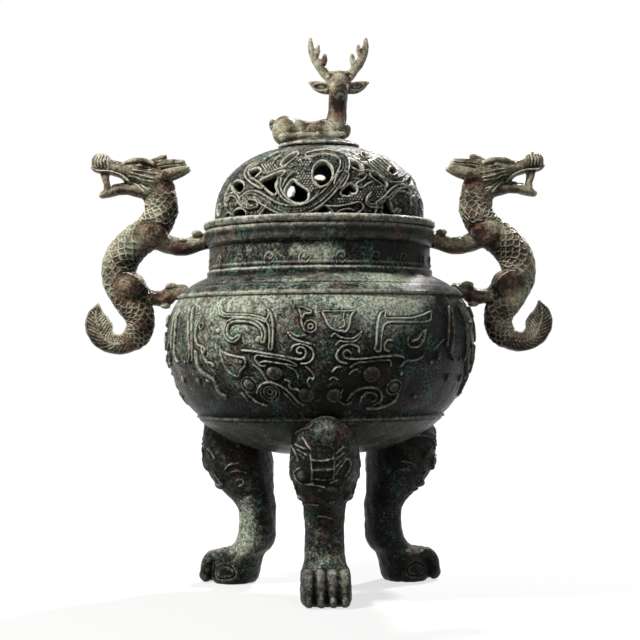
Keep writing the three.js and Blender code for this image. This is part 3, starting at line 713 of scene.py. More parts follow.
def sharpened(field, times, more):
    """A field with crisper edges and a fine moat round each form; its last column meets its first."""
    soft = field
    for _ in range(times):
        soft = (np.roll(soft, 1, axis=1) + 2 * soft + np.roll(soft, -1, axis=1)) / 4
        soft = (np.vstack([soft[:1], soft[:-1]]) + 2 * soft + np.vstack([soft[1:], soft[-1:]])) / 4
    return field + more * (field - soft)


HALVING_RADII = (34, 17, 8)
LEAST_COLUMNS = 45
KNOB_TOP = 1.8
SPARE_ROOM = 0.7 # kept free between a knob's top and the belly's widest ring
# engraved curls of the ground: the waves they come from, least and most waves round the belt
CURL_WAVES = 9
CURLS_ROUND = (20, 62)
CURL_SHIFT = 6.28
CURL_SIZE = 11
CURL_TURNS = 2.6
CURL_DEPTH = 0.05


def ground_curls(across, heights):
    """Fine engraved curls, cut between the forms of the mask: 0 on the ground, 1 at the deepest."""
    chance = np.random.default_rng(17)
    hills = np.zeros((len(heights), len(across)))
    for _ in range(CURL_WAVES):
        around = chance.integers(*CURLS_ROUND)
        rise = chance.uniform(-1, 1) * 2 * math.pi / CURL_SIZE
        shift = chance.uniform(0, CURL_SHIFT)
        hills += np.cos(across[None, :] * around + heights[:, None] * rise + shift)
    return 0.5 - 0.5 * np.cos(hills * CURL_TURNS * math.pi / 3)


def belt_field(outline, rows):
    """Lift of the mask on every row of the belt, and on every column round it."""
    step = 2 * math.pi / BELT_COLUMNS
    sector = BELT_COLUMNS // LEG_COUNT
    extra = sector // 6
    turns = (np.arange(-extra, sector + extra) - sector / 2) * step
    field = mask_relief(outline, rows, turns)
    room = np.maximum(np.max(rows[:, :1]) - rows[:, :1] - SPARE_ROOM, 0)
    top = np.minimum(RELIEF_TOP + room, KNOB_TOP)
    lift = np.minimum(sharpened(folded(field, BELT_COLUMNS, LEG_COUNT), times=14, more=0.4), top)
    bare = soft_step(0.35 - lift, 0.35)
    return lift - CURL_DEPTH * bare * ground_curls(np.arange(BELT_COLUMNS) * step, rows[:, 1])


def neck_field(rows):
    """Lift of the row of cloud scrolls on the neck."""
    turns = np.arange(0, 360, 360 / BELT_COLUMNS)
    middle = (rows[0, 1] + rows[-1, 1]) / 2 - SCROLL_DROP
    across = np.radians(turns % SCROLL_SPACING - SCROLL_SPACING / 2) * NECK_RADIUS
    plane = np.stack(np.meshgrid(across, rows[:, 1] - middle), axis=-1).reshape(-1, 2)
    lift = np.zeros(len(plane))
    for path, width in ((CLOUD_SCROLL, 1.1), (CLOUD_TAIL, 0.9)):
        curve = curve_through(np.array(path), 0.4)
        far, _ = distance_to_path(plane, curve)
        lift = np.maximum(lift, SCROLL_LIFT * soft_step(width / 2 - far, width / 2))
    return lift.reshape(len(rows), BELT_COLUMNS)


def column_count(radius, full):
    """Fewer columns near the axis, halved step by step."""
    count = full
    for limit in HALVING_RADII:
        if radius < limit and count > LEAST_COLUMNS:
            count //= 2
    return count if radius > 0.5 else 1


# distances between the rows of the bowl's skin
FLOOR_STEP = 2.2
LINE_STEP = 0.35
BELT_STEP = 0.42
NECK_STEP = 0.6
RIM_STEP = 0.8
INSIDE_STEP = 3
SHOULDER_TOP = 169.8
# lines round the bowl: height, width and lift
BOWL_LINES = [(SHOULDER_LINE, 0.4, -0.5), (FLOOR_LINE, 0.5, -0.5), (175.4, 0.8, 0.5)]
NECK_PROFILE = [(61.6, 170.4), (61.8, 173), (60.4, 174), (NECK_RADIUS, RIM_BOTTOM)]
RIM_PROFILE = [
    (NECK_RADIUS + 0.4, RIM_BOTTOM + 0.1), (RIM_RADIUS - 1.5, RIM_BOTTOM + 0.7),
    (RIM_RADIUS - 0.5, RIM_BOTTOM + 1.9), (RIM_RADIUS, RIM_BOTTOM + 3.6), (RIM_RADIUS, RIM_TOP - 1),
    (RIM_RADIUS - 0.9, RIM_TOP), (MOUTH_RADIUS + 0.8, RIM_TOP),
]


def bowl_rows(belly):
    """Rows of the bowl's outer skin, as named stretches from the floor to the rim."""
    floor_rows = even_rows(belly[belly[:, 1] < FLOOR_LINE - 1.5], FLOOR_STEP)
    line_rows = even_rows(part_of(belly, FLOOR_LINE - 1.3, BELT_BOTTOM - 0.3), LINE_STEP)
    return {
        "floor": np.vstack([floor_rows, line_rows]),
        "belt": even_rows(part_of(belly, BELT_BOTTOM, BELT_TOP), BELT_STEP),
        "shoulder": even_rows(part_of(belly, BELT_TOP + 0.15, SHOULDER_TOP), NECK_STEP),
        "neck": even_rows(NECK_PROFILE, NECK_STEP),
        "rim": even_rows(RIM_PROFILE, RIM_STEP),
    }


def bowl_lift(belly, stretches):
    """Lift of the bowl's relief and of the lines round it, on every row."""
    fields = {name: np.zeros((len(rows), BELT_COLUMNS)) for name, rows in stretches.items()}
    fields["belt"] = belt_field(belly, stretches["belt"]) - GROUND_DEPTH
    fields["neck"] = neck_field(stretches["neck"])
    lift = np.vstack(list(fields.values()))
    heights = np.vstack(list(stretches.values()))[:, 1]
    for height, width, more in BOWL_LINES:
        lift += more * spot(heights, height, width)[:, None]
    return lift


def bowl_rings():
    belly = curve_through(BELLY, 1)
    belly[:, 1] = np.maximum.accumulate(belly[:, 1])
    stretches = bowl_rows(belly)
    rows = np.vstack(list(stretches.values()))
    rings = []
    for (radius, height), (out, up), lifts in zip(rows, outward(rows), bowl_lift(belly, stretches)):
        count = column_count(radius, BELT_COLUMNS)
        ring = ring_of(radius, height, count)
        if count > 1:
            lifts = lifts[::BELT_COLUMNS // count] + unevenness(ring, size=16, amount=0.07, seed=3)
            ring = ring_of(radius + lifts * out, height + lifts * up, count)
        rings.append(ring)
    return rings


def bowl_inside_rings():
    belly = curve_through(BELLY, 1)
    inside = (belly - WALL * outward(belly))[::-1]
    inside = inside[inside[:, 1] < 168.5]
    wall = even_rows([(MOUTH_RADIUS, RIM_TOP - 0.8), (MOUTH_RADIUS, 169)], INSIDE_STEP)
    hollow = even_rows(np.vstack([inside[:-1], [[0, inside[-1, 1]]]]), INSIDE_STEP)
    rings = [ring_of(MOUTH_RADIUS, RIM_TOP - 0.4, BELT_COLUMNS // 2)]
    for radius, height in np.vstack([wall, hollow]):
        rings.append(ring_of(radius, height, column_count(radius * 2, INSIDE_COLUMNS)))
    return rings


# crust of the bowl by height, partly growth and partly painted light and shade, and painted light and shade
# by place sideways
# growth by height together with painted light and shade: paler up the belt towards the shoulder, darker
# towards its foot
CRUST_AND_LIGHT_UPRIGHT = [
    (94, -0.3), (105, 0.1), (122, 0.4), (140, 0.62), (152, 0.78), (158.5, 0.92), (159.5, 0.25), (170, 0.15),
    (178, 0.15), (186, 0.05), (189, -0.35),
]
# painted light and shade by place sideways: paler to the left, where the lamp falls, and darker to the right,
# where the belly is in shade
PAINTED_LIGHT_SIDEWAYS = [
    (-85, 0.05), (-70, 0.2), (-45, 0.38), (-20, 0.1), (0, -0.05), (30, -0.25), (60, -1.1), (85, -1.5),
]


def bowl_crust(points):
    """Pale growth is thickest on the upper belt, partly as painted light; painted light makes it paler
    towards the left and painted shade darker towards the right; the shoulder's two pale places are a painted
    highlight and a painted sheen.
    """
    sideways, _, height = points.T
    # growth and painted light and shade by height
    upright = from_table(height, CRUST_AND_LIGHT_UPRIGHT)
    # painted light to the left and painted shade to the right
    painted_light_leftward = from_table(sideways, PAINTED_LIGHT_SIDEWAYS)
    upper_right = 2.0 * spot(sideways, 34, 25) * soft_step(height - 128, 30) * (height < BELT_TOP)
    # painted highlight: a pale place on the right of the shoulder where the lamp behind the burner is
    # reflected
    glow_highlight = 2.0 * spot(sideways, 40, 17) * spot(height, 166, 5.5)
    # painted sheen across the middle of the shoulder
    rub_and_painted_light = 0.8 * spot(sideways, 2, 24) * spot(height, 166, 6)
    growth = 1.4 * spot(sideways, -3, 16) * spot(height, 181, 6)
    return upright + painted_light_leftward * soft_step(height - 95, 25) + upper_right + glow_highlight + rub_and_painted_light + growth


def bowl():
    points, faces = turned_skin(bowl_rings() + bowl_inside_rings())
    mesh = new_mesh("bowl_casting", points, faces)
    place_piece("bowl_casting", mesh, "base", "patinated_bronze", ["bowl"], bowl_crust)


# lid: openwork dome on a flange

DOME_COLUMNS = 960
DOME_STEP = 0.45
DOME_PLAIN_RADIUS = 21
TOP_HALVING_RADIUS = 14
DOME_SINK = 0.5
HOLE_LIP = 0.6
HOLE_SNAP = 0.24 # points of the skin nearer than this to a hole's edge are moved onto it
# openings of the openwork, as outlines through pixels of the photograph's frame
LID_HOLES = {
    "top round": [
        (322, 160.8), (327.6, 162.4), (331.4, 167), (332.2, 173.6), (330, 179.6), (325.6, 184),
        (320, 184.8), (316.6, 181.4), (313.8, 175.6), (313.6, 169.8), (316.6, 163.8),
    ],
    "middle tear": [
        (292.9, 180.1), (296.4, 183.4), (302, 187), (308, 192.4), (307.6, 198.2), (303, 201.4),
        (297, 201.8), (290.4, 199.4), (286, 194.4), (285.8, 189.4), (288.6, 184.6),
    ],
    "left triangle": [
        (283.8, 171.2), (276.8, 173), (268, 176.8), (259.9, 181.5), (266, 187.8), (272.5, 193.4),
        (275.7, 192), (274.2, 185), (277.4, 178.4),
    ],
    "left slot": [
        (248.7, 171.7), (253, 169), (257.6, 168), (259.9, 170.6), (256.4, 174.6), (252, 178), (250, 175),
    ],
    "left round": [
        (235.2, 181.6), (239.6, 181.4), (243, 184.6), (242.6, 189.6), (238.4, 192), (233.8, 190.4),
        (232, 186),
    ],
    "left low": [
        (236, 210.4), (241.4, 209.4), (244.6, 212.4), (244, 217), (239.6, 219.8), (234.6, 218.6),
        (233.2, 214),
    ],
    "upper slit": [
        (281.6, 163.4), (285, 158.6), (291, 154), (297, 152), (296, 155.4), (289.6, 160.4), (284.4, 164.4),
    ],
    "centre low": [
        (314.8, 214.2), (318.4, 209.6), (324.6, 205.6), (328.4, 208.6), (332.3, 213.8), (325, 215.4),
    ],
    "right of cartouche": [
        (350.4, 161.8), (356.4, 161.4), (361.4, 164.8), (363, 169.8), (358.4, 168.8), (352.8, 166),
    ],
    "right long": [
        (370.8, 173), (376, 172), (380.6, 175.6), (384.6, 180), (387, 184.4), (385, 186), (380.6, 181.6),
        (374.6, 177.8),
    ],
    "right small": [
        (389.4, 169.2), (392.6, 166.8), (396.2, 168.8), (396.4, 172), (393, 173.6), (389.8, 172),
    ],
    "right upper dot": [(362.4, 152.4), (366, 153), (368.4, 156), (365.4, 156.8), (362.6, 155)],
    "right of band": [
        (346.6, 186.2), (350.6, 183.6), (354.4, 186.6), (357, 189.8), (353.4, 193.2), (347, 195),
        (342, 193.4), (342.6, 190.4),
    ],
    "right edge dot": [
        (407.4, 178.4), (409.6, 177), (411.2, 179.6), (411.2, 183), (409, 184.6), (407.2, 182),
    ],
    "right low": [
        (387.8, 197.4), (384.6, 201.4), (383, 207), (382.8, 212.4), (388, 214.8), (393, 214.8),
        (392, 209.6), (390.4, 203.6),
    ],
}
# openings near the silhouette: turn in degrees, then height, half width and half height in millimetres
LID_SIDE_HOLES = {
    "side low": (74, 209, 3, 3),
    "side high": (82, 224, 2.8, 2.8),
    "other side low": (-72, 206, 2.7, 2.7),
}
# openings of the back half alone, through which the light behind the burner is seen
LID_BACK_HOLES = {"behind round": (-2.6, 231.7, 3.6, 1.9), "behind tear": (17.2, 223.7, 2.6, 3.6)}
DOME_BANDS = {
    "ribbed band": (6.0, [
        (243, 200), (248.4, 196), (256, 195.6), (264, 200.2), (273, 205.8), (283, 209.4), (296, 210.2),
        (308, 207.6), (318, 201.6), (328, 193), (335, 184.4), (340.6, 175.6), (344.6, 166.6), (343, 158),
        (334, 153.6), (322, 152.6), (310, 155),
    ]),
    "upper left band": (3.6, [(262, 186.6), (252, 180.6), (247, 174), (250.6, 167.4), (258, 163.6)]),
    "side sweep": (3.2, [(403.4, 186.2), (396.4, 187.4), (390.4, 192.2), (383.4, 199.4), (377, 203.6)]),
    "left side sweep": (2.8, [(228, 200), (231.4, 194.6), (236.6, 196.2), (240.6, 203), (246.4, 206.6)]),
}
DOME_RIDGES = {
    "band spine": (1.2, [(304, 209), (314, 205), (324, 198), (333, 188.6), (339, 179.6)]),
    "tear lip": (1.3, [
        (278.4, 178), (277.2, 186), (279.6, 194.6), (288.6, 202.4), (299, 204.2), (309.4, 201.4),
        (318, 193.4),
    ]),
    "triangle lip": (1.2, [(283, 186), (285.4, 181.4), (289, 176.6), (294, 172.4)]),
    "low edge": (1.4, [
        (323, 205.6), (337, 206.2), (351.7, 203.6), (358.6, 202), (362.7, 205.2), (362, 209.6),
        (356.6, 213.4),
    ]),
    "low curl": (1.4, [(370.8, 195.4), (366.8, 199.6), (370.4, 204), (377.4, 203.2), (381.8, 201)]),
    "leaf scroll": (1.4, [
        (359, 174.6), (363, 173.6), (366.2, 175.4), (363.6, 179.4), (358.6, 182), (356, 184.4),
        (358.4, 187.2), (363, 187.4), (366.6, 184.4), (371, 182.4),
    ]),
    "wing edge": (1.3, [
        (366, 170.6), (372, 171.6), (380, 175.6), (388, 181), (394, 182.2), (400, 182.4), (405.6, 180),
        (409.6, 175.6),
    ]),
    "sweep lower": (1.2, [
        (383, 201.4), (389.4, 199.8), (393.6, 195), (398, 191.2), (404, 191.6), (409.4, 195),
    ]),
    "hook outer": (1.3, [
        (371.4, 192.4), (367.2, 196.6), (366.2, 202), (370, 206.6), (377, 207.2), (382, 208.4),
    ]),
    "right stem": (1.2, [(393, 213.6), (396.6, 208.4)]),
    "right stem twin": (1.0, [(398, 213.6), (400, 209.6)]),
    "left arch line": (1.2, [
        (236.6, 204.6), (241, 197.4), (247.6, 193.6), (254.6, 194.4), (262, 198.6), (272, 205.2),
        (281, 210.6), (289, 214.2),
    ]),
    "rosette outer": (1.1, [(243.6, 197.8), (243.4, 203), (247, 208), (252, 208.6)]),
    "rosette arc": (1.0, [(248.6, 198.2), (254.6, 197.6), (260, 201.2), (262.4, 207), (258.6, 212)]),
    "rosette inner": (1.0, [(247.4, 202), (249.2, 205.4), (252.6, 205.4)]),
    "upper left arc": (1.1, [(264.6, 160.4), (270, 156.4), (277.6, 153.2), (284, 152)]),
    "upper left arc twin": (1.0, [(272.6, 164.6), (275.6, 160), (280.6, 156.4)]),
    "inner ring": (1.2, [
        (281.4, 178.6), (280.6, 187.4), (284, 195), (291.6, 201.8), (300.6, 204), (308.6, 202.2),
    ]),
    "side ridge": (1.3, [(399.4, 189), (393, 193.4), (385.4, 200)]),
    "far arc": (1.3, [(402, 179.4), (407, 187.4), (409.6, 196.4), (410.4, 206)]),
    "far arc twin": (1.1, [(396, 178.4), (401.4, 176.6), (406, 172.8)]),
    "left rosette": (1.2, [
        (246.6, 205.4), (248.4, 200.6), (253.4, 199.4), (257.6, 202.4), (257.4, 206.6), (253.6, 207.6),
    ]),
    "left leaf": (1.3, [(260, 214.4), (264.6, 208.6), (266.4, 204.6)]),
    "left foot curl": (1.3, [(226, 214.6), (229, 212.2), (231.8, 215), (229.4, 218.2)]),
    "left far arc": (1.2, [(226.6, 206.6), (225.6, 199), (228.4, 190.6), (232.6, 183)]),
    "upper arc": (1.2, [(262, 172.4), (270, 172.8), (278, 169.6), (286.6, 166.4)]),
    "upper arc twin": (1.1, [(298.6, 161.6), (306, 158.6), (311.6, 160.4)]),
    "round lip": (1.2, [(311.4, 175.6), (314, 182.4), (319, 187.4), (325, 186.4), (330.6, 181.8)]),
    "low leaf": (1.2, [(336, 213.6), (341.4, 210), (348.6, 208.8), (354, 210.4)]),
    "low stalk": (1.2, [(374.4, 214.6), (376, 209.6), (380, 206.6)]),
}
# plate on the band: pixels of its outline
CARTOUCHE = [
    (338.4, 171.6), (344, 170.4), (349.4, 173.4), (348.4, 180), (345, 186), (340, 189.8), (335, 188.4),
    (333, 183.6), (334.6, 177.6),
]
# rows of short strokes: pixel where the first starts, where the last starts, way of each, count
HATCH_RIGHT = ((366.6, 163.4), (381.6, 155.8), (16.6, 13.6), 7)
HATCH_LEFT = ((262, 164.6), (272.6, 161.8), (4.4, 6.6), 5)
# fields of small grains: corner pixels of each patch, spacing in pixels, radius and lift in millimetres
SCALE_PATCH = [(297, 172), (311.6, 171), (314.4, 181), (317.6, 187.4), (311, 193.4), (303.4, 185.4)]
GRAIN_PATCH = [
    (336, 199.6), (345, 195.6), (356, 192), (364, 188.8), (372, 184.4), (384, 187.4), (388, 192),
    (380, 197.4), (369, 195.4), (360, 200.8), (340, 203.8),
]
TOP_PATCH = [(300, 155.6), (316, 154.4), (314, 160.6), (309, 166.4), (300, 166.6)]
GRAIN_SPACING = 2.9
GRAIN_RADIUS = 0.72
GRAIN_LIFT = 0.7
# bars across the ribbed band: count, share of the band that has them, half their length in pixels
BAR_COUNT = 15
BAR_SHARE = 0.62
BAR_HALF = 4.4


def grains_in(patch, spacing):
    """Pixels in rows, half a step apart, that lie inside a patch."""
    corners = np.array(patch, float)
    low, high = corners.min(axis=0), corners.max(axis=0)
    found = []
    for k, row in enumerate(np.arange(low[1], high[1], spacing * 0.85)):
        for column in np.arange(low[0] + spacing / 2 * (k % 2), high[0], spacing):
            inside = False
            for (x0, y0), (x1, y1) in zip(corners, np.roll(corners, -1, axis=0)):
                if (y0 > row) != (y1 > row) and column < x0 + (row - y0) * (x1 - x0) / (y1 - y0):
                    inside = not inside
            if inside:
                found.append((column, row))
    return found


def hatch(relief, first, last, stroke, count):
    for share in np.linspace(0, 1, count):
        column = first[0] + (last[0] - first[0]) * share
        row = first[1] + (last[1] - first[1]) * share
        end = (column + stroke[0], row + stroke[1])
        relief.ridge([(column, row), end], width=0.9, lift=0.5)


def dome_relief(relief):
    for width, pixels in DOME_BANDS.values():
        relief.band(pixels, width, lift=0.75, lip=0.5)
    spine = DOME_BANDS["ribbed band"][1]
    relief.groove(spine, width=0.8, depth=0.5)
    curve = curve_through(spine, 1)
    for place in np.linspace(4, len(curve) * BAR_SHARE, BAR_COUNT).astype(int):
        along = curve[place + 1] - curve[place - 1]
        aside = np.array([-along[1], along[0]]) / np.linalg.norm(along) * BAR_HALF
        relief.groove([curve[place] - aside, curve[place] + aside], width=0.8, depth=0.5)
    for width, pixels in DOME_RIDGES.values():
        relief.ridge(pixels, width, lift=1.15)
    relief.plateau(CARTOUCHE, lift=1.0, lip=0.5)
    for patch in (SCALE_PATCH, GRAIN_PATCH, TOP_PATCH):
        for pixel in grains_in(patch, GRAIN_SPACING):
            relief.boss(pixel, GRAIN_RADIUS, GRAIN_LIFT)
    hatch(relief, *HATCH_RIGHT)
    hatch(relief, *HATCH_LEFT)


def nearest_on(path, along):
    place = along * (len(path) - 1)
    low = np.minimum(place.astype(int), len(path) - 2)
    share = (place - low)[:, None]
    return path[low] * (1 - share) + path[low + 1] * share


def cut_holes(relief, rounds):
    """Inset of each grid point in the holes; points close to an edge are moved onto it."""
    inset = np.full(len(relief.turn), -9.0)
    paths = [relief.path(pixels, closed=True, step=0.8) for pixels in LID_HOLES.values()]
    for turn, height, half_width, half_height in rounds:
        paths.append(round_on(relief, math.radians(turn), height, half_width, half_height))
    for path in paths:
        index, here, along = relief.inset(path)
        relief.raise_to(index, HOLE_LIP * spot(here, -0.7, 0.45))
        inset[index] = np.maximum(inset[index], here)
        close = abs(here) < HOLE_SNAP
        target = nearest_on(np.vstack([path, path[:1]]), along[close])
        moved = index[close]
        relief.turn[moved] = np.arctan2(target[:, 0], -target[:, 1])
        relief.height[moved] = target[:, 2]
        inset[moved] = 0
    return inset.reshape(relief.shape)


def round_on(relief, turn, height, half_width, half_height):
    """A round or oval outline on the surface about a place on it."""
    around = np.linspace(0, 2 * math.pi, 24, endpoint=False)
    heights = height + half_height * np.sin(around)
    turns = turn + half_width * np.cos(around) / relief.radius_at(height)
    return relief.on_surface(turns, heights, relief.radius_at(heights))


def openwork_faces(outer, inner, columns, kept):
    """Faces of two skins with the same openings, and of the walls round each opening."""
    row, column = np.nonzero(kept)
    after = (column + 1) % columns
    low, high = outer[row], outer[row + 1]
    faces = [np.column_stack([low + column, low + after, high + after, high + column])]
    low, high = inner[row], inner[row + 1]
    faces.append(np.column_stack([low + column, high + column, high + after, low + after]))
    for row_step, column_step, start, end in (
        (0, 1, (row + 1, after), (row, after)),
        (0, -1, (row, column), (row + 1, column)),
        (-1, 0, (row, after), (row, column)),
        (1, 0, (row + 1, column), (row + 1, after)),
    ):
        beside = np.clip(row + row_step, 0, len(kept) - 1)
        edge = ~kept[beside, (column + column_step) % columns]
        start_row, start_column = start[0][edge], start[1][edge]
        end_row, end_column = end[0][edge], end[1][edge]
        faces.append(np.column_stack([
            outer[start_row] + start_column, outer[end_row] + end_column,
            inner[end_row] + end_column, inner[start_row] + start_column,
        ]))
    return faces


def pierced_half(outline, rows, turns, rounds):
    """One half of the dome: its relief, the lift of its skin and how far inside a hole each point is."""
    relief = Relief(outline, rows, turns)
    dome_relief(relief)
    inset = cut_holes(relief, rounds)
    lift = sharpened(relief.field(), times=8, more=0.5)
    bare = soft_step(0.3 - lift, 0.3)
    lift += bare * unevenness(relief.points, size=3.2, amount=0.11, seed=11).reshape(relief.shape)
    return relief, lift - DOME_SINK, inset


DOME_CRUST = 0.44
FLANGE_CRUST = [(196, -0.35), (198.6, -0.25), (200, 0.75), (201, 0.75)]


def lid_crust(points):
    """Pale on the flange's top edge, which hands touch, and darker down its side; painted light and shade
    make the whole lid paler towards the left and darker towards the right.
    """
    sideways, forward, height = points.T
    on_flange = soft_step(np.hypot(sideways, forward) - 58, 1)
    edge = from_table(height, FLANGE_CRUST)
    # painted light to the left and painted shade to the right, by place sideways
    return DOME_CRUST - 0.0022 * sideways + on_flange * (edge - DOME_CRUST)


SPIGOT_INSIDE = SPIGOT_RADIUS - 2.4
LID_FOOT = [
    (SPIGOT_INSIDE, LID_BOTTOM - SPIGOT_DEPTH), (SPIGOT_RADIUS, LID_BOTTOM - SPIGOT_DEPTH),
    (SPIGOT_RADIUS, LID_BOTTOM), (LID_FLANGE_RADIUS - 0.8, LID_BOTTOM), (LID_FLANGE_RADIUS, LID_BOTTOM + 0.8),
    (LID_FLANGE_RADIUS, LID_FLANGE_TOP - 1.6), (LID_FLANGE_RADIUS - 0.8, LID_FLANGE_TOP - 0.5),
    (58.4, LID_FLANGE_TOP - 0.1),
]
SPIGOT_HEIGHTS = (199.6, 196, 193)


def pierced_rings(halves, normals, inner=False):
    """Rings of the openwork's outer skin, or of its inner one."""
    out, up = normals[:, 0, None], normals[:, 1, None]
    sides = []
    for (relief, lift, _), sign in zip(halves, (1, -1)):
        shift = -LID_WALL if inner else lift
        radius = relief.radius_at(relief.height).reshape(relief.shape) + shift * out
        height = relief.height.reshape(relief.shape) + shift * up
        turn = relief.turn.reshape(relief.shape)
        sides.append(np.stack([sign * radius * np.sin(turn), -sign * radius * np.cos(turn), height], axis=-1))
    return list(np.concatenate(sides, axis=1))


def side_ring(radius, height, count=DOME_COLUMNS):
    """A ring that starts at the side, as the halves of the openwork do."""
    return ring_of(radius, height, count, -math.pi / 2)


def plain_rings(rows, normals, shift):
    """Rings of the plain top of the dome."""
    rings = []
    for (radius, height), (out, up) in zip(rows, normals):
        count = DOME_COLUMNS // 2 if radius > TOP_HALVING_RADIUS else DOME_COLUMNS // 4
        rings.append(side_ring(radius + shift * out, height + shift * up, count))
    return rings


def lid_faces(parts, pierced, kept):
    """Faces between all the rings; between the pierced ones only where the skin is kept."""
    counts = [len(ring) for part in parts for ring in part]
    starts = np.cumsum(counts) - counts
    outer_first = len(parts[0])
    inner_first = sum(len(part) for part in parts[:4])
    outer = starts[outer_first:outer_first + pierced]
    inner = starts[inner_first:inner_first + pierced][::-1]
    faces = openwork_faces(outer, inner, DOME_COLUMNS, kept)
    for k in range(len(counts)):
        after = (k + 1) % len(counts)
        in_outer = outer_first <= k < outer_first + pierced - 1
        in_inner = inner_first <= k < inner_first + pierced - 1
        if not in_outer and not in_inner:
            faces += ring_faces(starts[k], counts[k], starts[after], counts[after])
    return faces


def lid():
    outline = curve_through(DOME, 0.8)
    dome = even_rows(outline, DOME_STEP)
    dome = dome[dome[:, 0] > RIVET_HOLE]
    pierced = dome[dome[:, 0] > DOME_PLAIN_RADIUS]
    top = dome[len(pierced):]
    normals, top_normals = np.split(outward(dome), [len(pierced)])
    half = DOME_COLUMNS // 2
    turns = (np.arange(half) - half / 2) * 2 * math.pi / DOME_COLUMNS
    side_holes = list(LID_SIDE_HOLES.values())
    halves = [
        pierced_half(outline, pierced, turns, side_holes),
        pierced_half(outline, pierced, turns, side_holes + list(LID_BACK_HOLES.values())),
    ]
    face_inset = np.hstack([inset[1:] + inset[:-1] for _, _, inset in halves])
    kept = (face_inset + np.roll(face_inset, -1, axis=1)) <= 0
    parts = [
        [side_ring(r, z) for r, z in even_rows(LID_FOOT, RIM_STEP)],
        pierced_rings(halves, normals),
        plain_rings(top, top_normals, -DOME_SINK),
        plain_rings(top, top_normals, -LID_WALL)[::-1],
        pierced_rings(halves, normals, inner=True)[::-1],
        [side_ring(SPIGOT_INSIDE, z) for z in SPIGOT_HEIGHTS],
    ]
    points = np.vstack([ring for part in parts for ring in part])
    mesh = new_mesh("lid_casting", points, lid_faces(parts, len(pierced), kept))
    place_piece("lid_casting", mesh, "lid_set", "patinated_bronze", ["lid"], lid_crust)


# crown plate

CROWN_PROFILE = [
    (22.2, 241.6), (CROWN_RADIUS, 242.2), (21.8, 243), (20.4, 243.5), (16, 245.2), (9, 246.6), (2.6, 246.9),
]
CROWN_COLUMNS = 180
CROWN_GAP = 0.3
CROWN_FOOT = 241.4


def crown_plate():
    dome = curve_through(DOME, 0.8)
    top = even_rows(curve_through(CROWN_PROFILE, 0.6), 0.6)
    under = [(r, np.interp(-r, -dome[:, 0], dome[:, 1]) + CROWN_GAP) for r in np.linspace(2.6, 21.8, 12)]
    rings = []
    for radius, height in np.vstack([top, under]):
        ring = ring_of(radius, height, CROWN_COLUMNS)
        wobble = unevenness(ring, size=9, amount=0.1, seed=7) * (height > CROWN_FOOT)
        rings.append(ring_of(radius, height + wobble, CROWN_COLUMNS))
    mesh = new_mesh("crown_casting", *turned_skin(rings, closed=True))
    place_piece("crown_casting", mesh, "lid_set", "patinated_bronze", ["crown_plate"])


# castings of joined solids

RUGGED = 0.09
TUBE_COLUMNS = 32
BALL_COLUMNS = 24
GAP = 0.05 # kept between a casting and the bowl
NECK_FOOT = 172
FLANGE_CLEAR_RADIUS = 64
FLANGE_CLEAR_TOP = 202


def tube(stations, side=(0, 1, 0)):
    """A closed round-ended solid through stations: x, y, z, half width, and half depth along side."""
    route = curve_through(stations, 1)
    centres, halves = route[:, :3], np.maximum(route[:, 3:5], 0.3)
    along = np.gradient(centres, axis=0)
    along /= np.linalg.norm(along, axis=1)[:, None]
    wide = np.cross(along, side)
    wide /= np.linalg.norm(wide, axis=1)[:, None]
    deep = np.cross(wide, along)
    turn = 2 * math.pi * np.arange(TUBE_COLUMNS) / TUBE_COLUMNS
    circle = np.column_stack([np.cos(turn), np.sin(turn)])

    def section(k, scale=1.0, shift=0.0):
        spread = circle * halves[k] * scale
        return centres[k] + along[k] * shift + spread[:, :1] * wide[k] + spread[:, 1:] * deep[k]

    def end(k, way):
        reach = halves[k].min() * 0.8 * way
        rings = [section(k, math.cos(bend), math.sin(bend) * reach) for bend in (0.4, 0.8, 1.2)]
        return rings + [(centres[k] + along[k] * reach)[None]]

    middle = [section(k) for k in range(len(route))]
    return turned_skin(end(0, -1)[::-1] + middle + end(len(route) - 1, 1))


def ball(centre, radii):
    """A closed ellipsoid."""
    rings = []
    for bend in np.linspace(-math.pi / 2, math.pi / 2, 15):
        count = BALL_COLUMNS if abs(bend) < 1.5 else 1
        rings.append(ring_of(math.cos(bend), math.sin(bend), count) * radii + centre)
    return turned_skin(rings)


def pair(make, stations_or_centre, *rest):
    """The same solid on both sides of the plane y = 0."""
    given = np.array(stations_or_centre, float)
    other = given.copy()
    other[..., 1] *= -1
    return [make(given, *rest), make(other, *rest)]


def fused(name, solids, voxel):
    """One skin round solids that overlap, as points and quads."""
    starts = np.cumsum([0] + [len(points) for points, _ in solids])
    faces = [group + start for start, (_, groups) in zip(starts, solids) for group in groups]
    rough = new_mesh(name, np.vstack([points for points, _ in solids]), faces)
    holder = bpy.data.objects.new(name, rough)
    bpy.context.scene.collection.objects.link(holder)
    join = holder.modifiers.new("join", "REMESH")
    join.mode = "VOXEL"
    join.voxel_size = voxel * MM
    skin = bpy.data.meshes.new_from_object(holder.evaluated_get(bpy.context.evaluated_depsgraph_get()))
    points = np.empty(len(skin.vertices) * 3, np.float32)
    skin.vertices.foreach_get("co", points)
    corners = np.empty(len(skin.loops), np.int32)
    skin.loops.foreach_get("vertex_index", corners)
    bpy.data.objects.remove(holder)
    bpy.data.meshes.remove(rough)
    bpy.data.meshes.remove(skin)
    return points.reshape(-1, 3).astype(float) / MM, corners.reshape(-1, 4)


def smoothed(points, quads, times):
    a, b = quads.ravel(), np.roll(quads, -1, axis=1).ravel()
    count = len(points)
    degree = np.bincount(a, minlength=count)
    for _ in range(times):
        near = np.column_stack([np.bincount(a, points[b, axis], count) for axis in range(3)])
        points = (points + near / degree[:, None]) / 2
    return points


